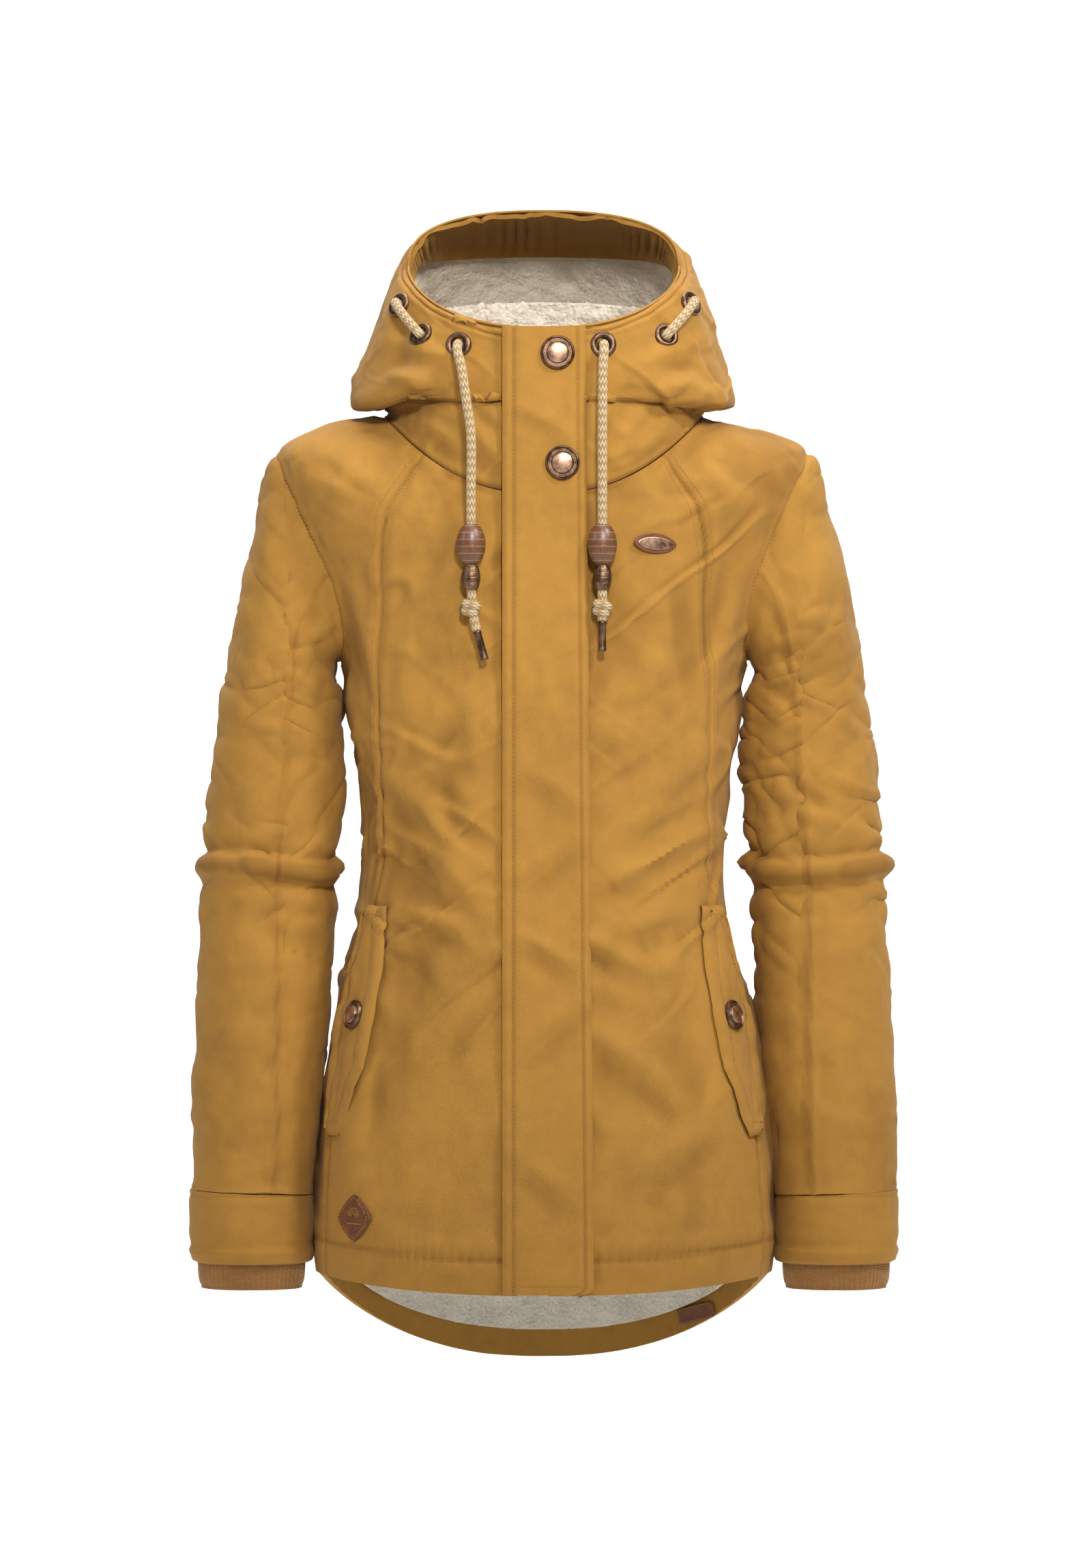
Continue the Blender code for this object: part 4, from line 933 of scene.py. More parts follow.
def folds(points, ridges):
    """Height of the given folds seen from the front. Each ridge is a segment (x1, z1, x2, z2, height,
    width): a bell across it, fading to nothing at its two ends."""
    total = np.zeros(points.shape[:-1])
    x, z = points[..., 0], points[..., 2]
    for x1, z1, x2, z2, height, width in ridges:
        dx, dz = x2 - x1, z2 - z1
        size = math.hypot(dx, dz)
        along = ((x - x1) * dx + (z - z1) * dz) / size
        across = ((x - x1) * dz - (z - z1) * dx) / size
        share = along / size
        arch = np.cos(np.pi * np.clip(share - 0.5, -0.7, 0.7) / 1.4) ** 1.5
        fade = np.where((share > -0.2) & (share < 1.2), arch, 0)
        sharp = across + 0.25 * width * np.sin(along / width * 0.35)
        total += height * fade * (bump(sharp, width) - 0.45 * bump(sharp - 1.6 * width, 1.1 * width))
    return total


def creases(points, seed, size=0.040, stretch=(1.0, 1.0, 1.0), sharp=0.10, turn=0.0):
    """A net of crisp creases: ridges where a stretched noise crosses zero, strong in some places and
    absent in others. Turn tips the net's direction away from upright, mirrored about the centre."""
    x, y, z = points[..., 0], points[..., 1], points[..., 2]
    lean = np.where(x > 0, turn, -turn) if turn else 0.0
    across, along = x * np.cos(lean) - z * np.sin(lean), x * np.sin(lean) + z * np.cos(lean)
    spot = np.stack([across * stretch[0], y * stretch[1], along * stretch[2]], axis=-1)
    net = value_noise(spot, size, seed, 2)
    where = np.clip(value_noise(points, 0.11, seed + 1, 2) * 0.9 + 0.45, 0, 1)
    return (np.exp(-(net / sharp) ** 2) - 0.55 * np.exp(-((net - 2.2 * sharp) / sharp) ** 2)) * where


def sample(grid, r, c, wrap=False):
    """Points of a grid at fractional rows and columns."""
    rows, columns = grid.shape[:2]
    r = np.clip(r, 0, rows - 1.000001)
    c = np.mod(c, columns) if wrap else np.clip(c, 0, columns - 1.000001)
    j, i = r.astype(int), c.astype(int)
    fr, fc = (r - j)[..., None], (c - i)[..., None]
    k = (i + 1) % columns if wrap else i + 1
    low = grid[j, i] * (1 - fc) + grid[j, k] * fc
    high = grid[j + 1, i] * (1 - fc) + grid[j + 1, k] * fc
    return low * (1 - fr) + high * fr


# %% [markdown]
# ## The body of the coat
# The body is one surface, from the zip round the back to the zip again. Its columns run evenly from the
# front edge to the side seam, along the back and to the other edge. The princess seams, which shape the
# waist, and the armholes are creases pressed into it, with a slight puff on either side where the padding
# is quilted down by the topstitching.

# %% Body seams
def princess_angle(v):
    """Front angle of the princess seam at a row."""
    return np.arcsin(spline_rows(PRINCESS_SHARE, v)[..., 0] ** (1 / SQUARENESS))


def zip_angles(table, v):
    """Angles of the two front edges at a row, on the wearer's left and right."""
    left = angle_at_x(table, ZIP_X + ZIP_HALF, v)
    return left, 2 * np.pi + angle_at_x(table, ZIP_X - ZIP_HALF, v)


def spread(table, u, v):
    """Angle from the share u of the way round: a quarter for each front, half for the back."""
    left, right = zip_angles(table, v)
    share = u * 4
    front_left = left + (QUARTER - left) * share
    behind = QUARTER + np.pi * (share - 1) / 2
    front_right = 3 * QUARTER + (right - 3 * QUARTER) * (share - 3)
    return np.where(share < 1, front_left, np.where(share < 3, behind, front_right))


def share_of(table, theta, v):
    """The share u of the way round at an angle; negative angles are on the wearer's right."""
    left, right = zip_angles(table, v)
    theta = np.where(theta < 0, theta + 2 * np.pi, theta)
    return np.where(theta < QUARTER, (theta - left) / (QUARTER - left) / 4,
                    np.where(theta < 3 * QUARTER, 0.25 + (theta - QUARTER) / np.pi / 2,
                             0.75 + (theta - 3 * QUARTER) / (right - 3 * QUARTER) / 4))


def armhole(turn):
    """Angle and row of the armhole seam on the left side: an oval about the side seam's upper end."""
    reach = np.where(np.sin(turn) > 0, math.radians(30), math.radians(23))
    return QUARTER + reach * np.sin(turn), 9.5 + 1.5 * np.cos(turn)


def seam_press(distance, depth=0.0014, puff=0.0011, width=0.0018, reach=0.009):
    """A pressed seam: a groove on its line and a puff beside it."""
    return -depth * bump(distance, width) + puff * (bump(np.abs(distance) - reach, reach * 0.7))


FOLD_STRENGTH = 1.9
FRONT_FOLDS = (
    (-0.010, 0.345, 0.085, 0.300, 0.0026, 0.008), (-0.060, 0.300, -0.004, 0.335, 0.0022, 0.008),
    (-0.115, 0.410, -0.040, 0.345, 0.0026, 0.010), (0.045, 0.365, 0.120, 0.405, 0.0026, 0.010),
    (-0.118, 0.350, -0.060, 0.330, 0.0020, 0.008), (0.050, 0.330, 0.115, 0.345, 0.0022, 0.009),
    (-0.128, 0.455, -0.070, 0.400, 0.0026, 0.011), (0.075, 0.420, 0.128, 0.470, 0.0026, 0.011),
    (0.020, 0.265, 0.110, 0.200, 0.0022, 0.010), (-0.095, 0.235, -0.035, 0.290, 0.0020, 0.010),
    (0.000, 0.225, 0.060, 0.165, 0.0018, 0.010), (-0.080, 0.130, -0.030, 0.200, 0.0018, 0.011),
    (0.060, 0.130, 0.125, 0.180, 0.0018, 0.011), (-0.110, 0.500, -0.095, 0.600, 0.0018, 0.010),
    (0.100, 0.500, 0.086, 0.600, 0.0018, 0.010), (-0.060, 0.520, -0.052, 0.420, 0.0018, 0.012),
    (0.060, 0.530, 0.052, 0.430, 0.0018, 0.012), (-0.147, 0.600, -0.128, 0.520, 0.0026, 0.008),
    (0.150, 0.605, 0.131, 0.520, 0.0026, 0.008), (-0.170, 0.660, -0.130, 0.690, 0.0016, 0.009),
    (0.172, 0.660, 0.130, 0.688, 0.0016, 0.009), (0.013, 0.120, 0.030, 0.300, 0.0010, 0.012),
    (-0.150, 0.150, -0.120, 0.330, 0.0020, 0.014), (0.150, 0.150, 0.122, 0.330, 0.0020, 0.014),
    (-0.090, 0.085, -0.075, 0.150, 0.0012, 0.008), (0.030, 0.085, 0.042, 0.150, 0.0012, 0.008),
    (0.100, 0.085, 0.104, 0.140, 0.0012, 0.008), (-0.040, 0.640, -0.090, 0.560, 0.0012, 0.014),
    (0.045, 0.640, 0.090, 0.560, 0.0012, 0.014))
BACK_FOLDS = tuple((-x1 * 0.9, z1 + 0.012, -x2 * 0.9, z2 - 0.006, h, w)
                   for x1, z1, x2, z2, h, w in FRONT_FOLDS if z1 < 0.62)


def body_grid(rows, columns):
    """The smooth body grid with its angles, rows and shares."""
    v = np.linspace(0, 14, rows)[:, None] + np.zeros((1, columns))
    u = np.linspace(0, 1, columns)[None, :] + np.zeros((rows, 1))
    theta = spread(BODY_RINGS, u, v)
    return body(theta, v), theta, v, u


def armhole_distance(theta, v):
    """Distance from the nearer armhole seam, about in metres, from angle and row."""
    out = []
    for centre, mirror in ((QUARTER, 1), (3 * QUARTER, -1)):
        reach = np.where(mirror * (theta - centre) > 0, math.radians(30), math.radians(23))
        radius = np.hypot((theta - centre) / reach, (v - 9.5) / 1.5)
        out.append((radius - 1) * 0.072)
    return np.where(np.abs(out[0]) < np.abs(out[1]), out[0], out[1])


# %% Drape and press the body
coarse, theta, v, u = body_grid(120, 190)
hold = np.zeros(coarse.shape[:2])
hold[:2] = 1.0
hold[-2:] = 1.0
hold[:, :2] = 1.0
hold[:, -2:] = 1.0
princess = np.minimum(np.abs(theta - princess_angle(v)), np.abs(2 * np.pi - theta - princess_angle(v))) * 0.16
hold = np.maximum(hold, np.where(princess < 0.004, 0.5, 0))
hold = np.maximum(hold, np.where(armhole_distance(theta, v) < 0.014, 1.0, 0))
draped = settle("body_drape", coarse, hold, 0.022, 0.35, limit=0.005)
BODY_ROWS, BODY_COLUMNS = 251, 441
coat = resample(draped, BODY_ROWS, BODY_COLUMNS)
_, theta, v, u = body_grid(BODY_ROWS, BODY_COLUMNS)
outward = grid_normals(coat)
princess = np.minimum(np.abs(theta - princess_angle(v)), np.abs(2 * np.pi - theta - princess_angle(v))) * 0.16
is_front = np.clip((-coat[..., 1]) / 0.03, 0, 1)
height = folds(coat, FRONT_FOLDS) * is_front + folds(coat, BACK_FOLDS) * np.clip(coat[..., 1] / 0.03, 0, 1)
height *= FOLD_STRENGTH
crinkle = value_noise(coat * np.array([1.0, 1.0, 0.55]), 0.034, 11, 3)
height += 0.0019 * crinkle * np.abs(crinkle) + 0.0022 * value_noise(coat, 0.11, 12, 2)
waist = 0.35 + 0.65 * bump(coat[..., 2] - 0.33, 0.16) + 0.5 * bump(coat[..., 2] - 0.62, 0.06)
height += 0.0030 * waist * creases(coat, 101, 0.046, (1.0, 0.5, 0.24), 0.10, math.radians(56))
height += 0.0022 * waist * creases(coat, 103, 0.030, (1.0, 0.5, 0.24), 0.12, math.radians(-48))
height += seam_press(princess) + seam_press(armhole_distance(theta, v), 0.0014, 0.0012)
hem_distance = coat[..., 2] - coat[:1, :, 2]
height += seam_press(hem_distance - 0.028, 0.0012, 0.0010)
height += 0.0008 * np.sin(u * 900) * bump(hem_distance - 0.028, 0.010)
side_seam = np.minimum(np.abs(theta - QUARTER), np.abs(theta - 3 * QUARTER)) * 0.15
height += np.where(v < 8, seam_press(side_seam, 0.0012, 0.0008), 0)
back_yoke = np.where((theta > QUARTER) & (theta < 3 * QUARTER), 1.0, 0.0)
height += back_yoke * (v < 14) * seam_press((v - 11.6) * 0.022, 0.0010, 0.0008)
for share in (0.40, 0.60):
    back_seam = (u - share - 0.012 * np.sin(v / 14 * 5)) * 0.75
    height += back_yoke * (v < 11.4) * seam_press(back_seam, 0.0011, 0.0008)
edge_fade = np.clip(np.minimum(np.arange(BODY_ROWS), np.arange(BODY_ROWS)[::-1]) / 4, 0, 1)[:, None]
for badge_x, badge_z, reach in (CHEST_BADGE + (0.022,), HEM_BADGE + (0.024,)):
    beside = np.hypot(coat[..., 0] - badge_x, coat[..., 2] - badge_z)
    height *= np.where(coat[..., 1] < 0, np.clip((beside - 0.8 * reach) / reach, 0.12, 1), 1)
coat = coat + outward * (height * edge_fade)[..., None]
coat_normals = grid_normals(coat)
# Painted shade: darker colour along the seam grooves and in the fold valleys, kept with each body panel.
seam_dark = 0.42 * bump(princess, 0.0012) + 0.6 * bump(armhole_distance(theta, v), 0.0014)
seam_dark += 0.45 * bump(hem_distance - 0.028, 0.0015) + np.where(v < 8, 0.5 * bump(side_seam, 0.0012), 0)
coat_painted_shade = seam_dark + np.clip(-height / 0.006, 0, 0.45)
LEFT_CUT, RIGHT_CUT = (BODY_COLUMNS - 1) // 4, 3 * (BODY_COLUMNS - 1) // 4
body_uv = arc_uv(coat)
panels = (("coat_front_left", slice(0, LEFT_CUT + 1), ("front_panel_left", "side_panel_left")),
          ("coat_back", slice(LEFT_CUT, RIGHT_CUT + 1), ("back_panel",)),
          ("coat_front_right", slice(RIGHT_CUT, None), ("front_panel_right", "side_panel_right")))
for name, part, nodes in panels:
    piece = cloth_piece(name, coat[:, part], SHELL, normals=coat_normals[:, part], uv=body_uv[:, part],
                        painted_shade=coat_painted_shade[:, part])
    dress(piece, shell_cloth, "shell_fabric", "jacket", *nodes)
    print(name, len(piece.data.polygons), "faces")


def on_coat(theta, v, lift=0.0):
    """Points and normals on the draped body at angles and rows, lifted off the cloth."""
    c = share_of(BODY_RINGS, theta, v) * (BODY_COLUMNS - 1)
    r = v / 14 * (BODY_ROWS - 1)
    normal = sample(coat_normals, r, c)
    normal = normal / np.linalg.norm(normal, axis=-1, keepdims=True)
    return sample(coat, r, c) + normal * np.asarray(lift)[..., None], normal


# %% [markdown]
# ## Stitching
# Topstitching is thousands of short raised threads, 3.2 mm apart. Each one is a small six-sided grain laid
# on the cloth between two needle holes. All the stitches of a seam are one mesh, built by carrying the same
# little grain to every place along the line at once.

# %% Stitch maker
STITCH_PITCH = 0.0032
STITCH_LENGTH = 0.0024
STITCH_RADIUS = 0.00034


def stitch_mesh(lines):
    """Vertices and faces of the stitches along several lines, each a pair of points and normals."""
    profile = np.array([(-0.5, 0.0), (-0.36, 0.8), (0.0, 1.0), (0.36, 0.8), (0.5, 0.0)])
    angle = np.linspace(0, 2 * np.pi, 6, endpoint=False)
    all_verts, all_faces, base = [], [], 0
    for points, normals in lines:
        run = np.concatenate([[0], np.cumsum(np.linalg.norm(np.diff(points, axis=0), axis=1))])
        marks = np.arange(STITCH_PITCH / 2, run[-1], STITCH_PITCH)
        if len(marks) < 2:
            continue
        place = np.stack([np.interp(marks, run, points[:, k]) for k in range(3)], axis=1)
        up = np.stack([np.interp(marks, run, normals[:, k]) for k in range(3)], axis=1)
        along = np.gradient(place, axis=0)
        along /= np.linalg.norm(along, axis=1, keepdims=True)
        side = np.cross(along, up)
        side /= np.maximum(np.linalg.norm(side, axis=1, keepdims=True), 1e-9)
        up = np.cross(side, along)
        rings = (profile[:, None, :1] * STITCH_LENGTH * along[:, None, None, :]
                 + profile[:, None, 1:] * STITCH_RADIUS
                 * (np.cos(angle)[:, None] * side[:, None, None, :]
                    + np.sin(angle)[:, None] * up[:, None, None, :]))
        verts = place[:, None, None, :] + rings + up[:, None, None, :] * STITCH_RADIUS * 0.55
        count = len(place)
        quads = grid_quads(5, 6, wrap=True)
        all_verts.append(verts.reshape(-1, 3))
        all_faces.append((quads[None] + (np.arange(count) * 30)[:, None, None]).reshape(-1, 4) + base)
        base += count * 30
    return np.concatenate(all_verts), np.concatenate(all_faces)


def stitching(name, lines, body_name="jacket"):
    """One object with all the stitches of the given lines."""
    verts, faces = stitch_mesh(lines)
    obj = mesh_object(name, verts, faces, np.zeros((len(verts), 2)))
    dress(obj, thread, "shell_fabric", body_name)
    print(name, len(verts) // 30, "stitches")
    return obj


def coat_line(theta, v):
    """A stitch line on the coat at angles and rows."""
    theta, v = np.broadcast_arrays(np.asarray(theta, float), np.asarray(v, float))
    return on_coat(theta, v)


down = np.linspace(0.15, 13.9, 700)
body_lines = []
for sign in (-1, 1):
    for offset in (-0.0062, 0.0062):
        body_lines.append(coat_line(sign * (princess_angle(down) + offset / 0.16), down))
    turn = np.linspace(math.radians(-178), math.radians(178), 500)
    for grow in (1.045, 1.11):
        arm_theta, arm_v = armhole(turn)
        arm_theta = QUARTER + (arm_theta - QUARTER) * grow
        arm_v = 9.5 + (arm_v - 9.5) * grow
        body_lines.append(coat_line(arm_theta if sign > 0 else -arm_theta, arm_v))
hem_share = np.linspace(0.004, 0.996, 1600)
hem_v = np.full(hem_share.shape, 0.0)
for rise in (0.0255,):
    rows_at = np.array([np.interp(rise, hem_distance[:, int(c)], v[:, int(c)])
                        for c in np.linspace(2, BODY_COLUMNS - 3, 90)])
    hem_v = np.interp(hem_share, np.linspace(0, 1, 90), rows_at)
body_lines.append(coat_line(spread(BODY_RINGS, hem_share, hem_v), hem_v))
stitching("coat_stitches", body_lines)
# %% [markdown]
# ## Sleeves
# A sleeve starts as the armhole's own oval, so that it is truly sewn to the body, and passes through rings
# down to the cuff. At the elbow the cloth piles up in a few sharp creases. The sleeve is cut in two meshes
# at the middle of the upper arm.

# %% Sleeve surface
SLEEVE_ROWS, SLEEVE_COLUMNS = 261, 160
SPLIT_HEIGHT = 0.452
ELBOW_FOLDS = (
    (0.150, 0.352, 0.262, 0.392, 0.0042, 0.007), (0.170, 0.388, 0.262, 0.372, -0.0036, 0.006),
    (0.160, 0.335, 0.235, 0.345, 0.0026, 0.007), (0.180, 0.300, 0.240, 0.345, 0.0024, 0.008),
    (0.165, 0.410, 0.225, 0.388, 0.0026, 0.008), (0.190, 0.290, 0.230, 0.250, 0.0020, 0.010),
    (0.175, 0.255, 0.215, 0.215, 0.0018, 0.010), (0.200, 0.215, 0.250, 0.180, 0.0016, 0.009),
    (0.160, 0.520, 0.215, 0.560, 0.0026, 0.010), (0.155, 0.480, 0.200, 0.520, 0.0024, 0.010),
    (0.185, 0.610, 0.225, 0.640, 0.0014, 0.010), (0.160, 0.445, 0.210, 0.470, 0.0020, 0.009),
    (0.210, 0.440, 0.252, 0.480, 0.0016, 0.010), (0.170, 0.580, 0.200, 0.540, 0.0018, 0.010))


def tilted_ring(row, turn):
    """A ring of a sleeve: an ellipse whose plane is tilted about Y."""
    x, y, z, rx, ry, tilt = [row[..., k, None] for k in range(6)]
    lean = np.radians(tilt)
    across = rx * np.cos(turn)
    return np.stack([x + across * np.cos(lean), y + ry * np.sin(turn) + 0 * across,
                     z + across * np.sin(lean)], axis=-1)


def sleeve_coarse(columns):
    """Coarse sleeve grid from the armhole to the cuff, columns running from the top over the back."""
    turn = np.linspace(0, 2 * np.pi, columns, endpoint=False)
    arm_theta, arm_v = armhole(turn)
    seam = body(arm_theta, arm_v)
    out = surface_normal(body, arm_theta, np.clip(arm_v, 0, 13.9))
    first = seam - out * 0.0035
    upper = tilted_ring(UPPER_SLEEVE_RINGS, turn[None, :])
    lower = tilted_ring(LOWER_SLEEVE_RINGS, turn[None, :])
    puffed = seam + np.array([0.0050, 0, -0.0044]) + out * 0.0008
    half = (puffed + upper[2]) / 2 + np.array([0.003, 0, 0.001])
    rings = np.stack([first, puffed, half * 0.5 + upper[2] * 0.5, *upper[3:], *lower])
    return rings


sleeve_grids = {}
coarse = resample(sleeve_coarse(64), 92, 64, wrap=True)
hold = np.zeros(coarse.shape[:2])
hold[:7] = 1.0
hold[-2:] = 1.0
hold[7:10] = 0.25
for side, sign in SIDES:
    noise_seed = 21 if side == "left" else 22
    first_ripple = 0.0015 * value_noise(coarse, 0.04, noise_seed, 2)
    start = coarse + grid_normals(coarse, True) * first_ripple[..., None]
    draped = settle("sleeve_drape_" + side, start, hold, 0.035, 0.5, wrap=True, limit=0.004)
    fine = resample(draped, SLEEVE_ROWS, SLEEVE_COLUMNS, wrap=True)
    out = grid_normals(fine, True)
    front = np.clip(-out[..., 1] * 2, 0, 1)
    height = folds(fine, ELBOW_FOLDS) * (0.25 + 0.75 * front) * FOLD_STRENGTH
    spin = np.linspace(0, 2 * np.pi, SLEEVE_COLUMNS, endpoint=False)[None, :]
    z = fine[..., 2]
    elbow = z - 0.379 - 0.004 * np.sin(spin * 2 + noise_seed)
    height += 0.0040 * bump(elbow - 0.012, 0.007) - 0.0050 * bump(elbow, 0.005)
    height += 0.0036 * bump(elbow + 0.013, 0.007)
    crinkle = value_noise(fine * np.array([1, 1, 0.7]), 0.030, noise_seed + 5, 3)
    height += 0.0020 * crinkle * np.abs(crinkle) + 0.0018 * value_noise(fine, 0.09, noise_seed + 9, 2)
    busy = 0.4 + 0.9 * bump(z - 0.375, 0.07) + 0.6 * bump(z - 0.53, 0.08)
    about = fine - np.array([0.2, 0, 0])
    height += 0.0030 * busy * creases(about, noise_seed + 80, 0.034, (0.22, 0.3, 1.0), 0.13, 0.45)
    height += 0.0020 * busy * creases(about, noise_seed + 90, 0.024, (0.22, 0.3, 1.0), 0.15, -0.75)
    # Painted shade: darker colour in the fold valleys and along the two sleeve seams.
    dark = np.clip(-height / 0.006, 0, 0.5)
    seam_turn = np.radians(248) + 0.25 * np.sin((z - 0.15) * 5)
    for place in (seam_turn, np.radians(118)):
        offset = np.abs(np.mod(spin - place + np.pi, 2 * np.pi) - np.pi) * 0.05
        height += seam_press(offset, 0.0012, 0.0008, 0.0016, 0.008)
        dark = dark + 0.45 * bump(offset, 0.0011)
    ends = np.clip(np.minimum(np.arange(SLEEVE_ROWS) - 6, 14) / 14, 0, 1)[:, None]
    ends = ends * np.clip((z - 0.126) / 0.006, 0, 1)
    fine = fine + out * (height * ends)[..., None]
    sleeve_grids[side] = (fine, dark)


# %% Sleeve pieces
def mirror_x(grid, wrap=True):
    """A grid mirrored across x, with its columns turned back so that faces still point out."""
    flipped = grid * np.array([-1, 1, 1])
    return np.roll(flipped[:, ::-1], 1, axis=1) if wrap else flipped[:, ::-1]


def bend_shoulder(obj, side, sign):
    """Bakes the piece's transform into its mesh."""
    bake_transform(obj)


def bend_elbow(obj, side, sign):
    """Bakes the piece's transform into its mesh."""
    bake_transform(obj)


for side, sign in SIDES:
    fine, dark = sleeve_grids[side]
    dark = dark if sign > 0 else np.roll(dark[:, ::-1], 1, axis=1)
    split = int(np.argmin(np.abs(fine[..., 2].mean(axis=1) - SPLIT_HEIGHT)))
    whole = fine if sign > 0 else mirror_x(fine)
    normals = grid_normals(whole, True)
    uv = arc_uv(whole)
    uv[..., 0] = np.abs(uv[..., 0] - uv[..., 0].max() / 2)
    upper = cloth_piece("sleeve_top_" + side, whole[:split + 1], 0.0038, True, normals[:split + 1],
                        uv[:split + 1], dark[:split + 1])
    dress(upper, shell_cloth, "shell_fabric", None, "sleeve_upper_" + side)
    bend_shoulder(upper, side, sign)
    lower = cloth_piece("sleeve_low_" + side, whole[split:], 0.0038, True, normals[split:], uv[split:],
                        dark[split:])
    dress(lower, shell_cloth, "shell_fabric", None, "sleeve_lower_" + side)
    bend_elbow(lower, side, sign)
    sleeve_grids[side] = (whole, normals, split)
    print("sleeve", side, "split at row", split)

# %% Sleeve seams
for side, sign in SIDES:
    whole, normals, split = sleeve_grids[side]
    columns = whole.shape[1]
    parts = (("top", 12, split, bend_shoulder), ("low", split, len(whole) - 3, bend_elbow))
    for part, first, last, bend in parts:
        rows_at = np.linspace(first, last, 260)
        z = sample(whole, rows_at, np.zeros(260), True)[:, 2]
        turn = np.radians(248 + 5) + 0.25 * np.sin((z - 0.15) * 5)
        column = turn / (2 * np.pi) * columns if sign > 0 else columns - turn / (2 * np.pi) * columns
        points = sample(whole, rows_at, column, True)
        up = sample(normals, rows_at, column, True)
        seam = stitching("sleeve_stitches_" + part + "_" + side, [(points, up)], None)
        bend(seam, side, sign)

# %% [markdown]
# ## Cuffs
# A flat band of the shell cloth ends the sleeve, with two rows of stitching at its lower edge, and a rib
# knit tube peeps out below it. The ribs are real: the radius follows a rounded wave round the wrist.

# %% Cuff bands and ribs
def ring_grid(rings, rows, columns):
    """A tube through tilted rings."""
    turn = np.linspace(0, 2 * np.pi, columns, endpoint=False)
    return tilted_ring(spline_rows(rings, np.linspace(0, len(rings) - 1, rows)), turn[None, :])


for side, sign in SIDES:
    band = ring_grid(CUFF_RINGS, 60, 160)
    out = grid_normals(band, True)
    z = band[..., 2]
    spin = np.linspace(0, 2 * np.pi, 160, endpoint=False)[None, :]
    puff = 0.0012 * np.sin((z - 0.071) / 0.055 * np.pi).clip(0, 1) + 0.0007 * value_noise(band, 0.02, 31, 3)
    puff += seam_press(z - 0.0800, 0.0010, 0.0008, 0.0014, 0.006) + 0.0012 * bump(z - 0.0725, 0.002)
    puff += 0.0008 * bump(z - 0.1235, 0.0022)
    band = band + out * puff[..., None]
    band = band if sign > 0 else mirror_x(band)
    uv = arc_uv(band)
    uv[..., 0] = np.abs(uv[..., 0] - uv[..., 0].max() / 2)
    normals = grid_normals(band, True)
    piece = cloth_piece("cuff_" + side, band, 0.0038, True, normals, uv)
    dress(piece, shell_cloth, "shell_fabric", "sleeve_lower_" + side, "cuff_band_" + side)
    lines = []
    for height in (0.0800, 0.0735, 0.1215):
        row_at = np.interp(-height, -band[::-1, :, 2].mean(axis=1)[::-1], np.arange(60))
        column = np.linspace(0, 160, 400)
        level = np.full(400, row_at)
        lines.append((sample(band, level, column, True), sample(normals, level, column, True)))
    stitching("cuff_stitches_" + side, lines, "sleeve_lower_" + side)
    knit = ring_grid(RIB_RINGS, 60, 480)
    out = grid_normals(knit, True)
    spin = np.linspace(0, 2 * np.pi, 480, endpoint=False)[None, :]
    rib = 0.0009 * np.abs(np.cos(spin * 30)) ** 0.7 + 0.0006 * value_noise(knit, 0.012, 33, 2)
    hem_roll = 0.0010 * bump(knit[..., 2] - 0.0525, 0.003)
    knit = knit + out * (rib + hem_roll)[..., None]
    knit = knit if sign > 0 else mirror_x(knit)
    uv = arc_uv(knit)
    piece = cloth_piece("rib_" + side, knit, 0.0028, True, None, uv)
    dress(piece, rib_knit, "rib_knit", "sleeve_lower_" + side, "rib_cuff_" + side)
print("cuffs done")

# %% [markdown]
# ## Hood and collar
# One surface again, from the neck seam up to the rim and round the back. It turns forward over the neck seam
# in a soft overhang, which is the shadow line under the hood. The rim is folded inwards, and the drawcord's
# channel gathers it, so the facing inside the rim is full of small puckers.

# %% Hood shell
HOOD_ROWS, HOOD_COLUMNS = 161, 421
HOOD_FOLDS = (
    (-0.135, 0.745, -0.070, 0.762, 0.0042, 0.011), (0.135, 0.745, 0.070, 0.762, 0.0042, 0.011),
    (-0.120, 0.790, -0.060, 0.765, 0.0026, 0.008), (0.120, 0.790, 0.060, 0.765, 0.0026, 0.008),
    (-0.075, 0.735, -0.030, 0.690, 0.0030, 0.009), (0.080, 0.735, 0.045, 0.690, 0.0030, 0.009),
    (-0.095, 0.728, -0.060, 0.700, 0.0026, 0.007), (0.100, 0.728, 0.066, 0.700, 0.0026, 0.007),
    (-0.130, 0.770, -0.110, 0.830, 0.0030, 0.010), (0.130, 0.770, 0.112, 0.830, 0.0030, 0.010),
    (-0.050, 0.740, -0.034, 0.720, 0.0018, 0.007), (0.055, 0.745, 0.040, 0.715, 0.0018, 0.007),
    (-0.118, 0.762, -0.085, 0.748, 0.0026, 0.006), (0.118, 0.762, 0.085, 0.748, 0.0026, 0.006))


def hood_grid(rows, columns):
    """The smooth hood grid with its angles, rows and shares."""
    v = np.linspace(0, 8, rows)[:, None] + np.zeros((1, columns))
    u = np.linspace(0, 1, columns)[None, :] + np.zeros((rows, 1))
    theta = spread(HOOD_RINGS, u, v)
    return hood(theta, v), theta, v, u


def bend_hood(obj):
    """Bakes the piece's transform into its mesh."""
    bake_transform(obj)


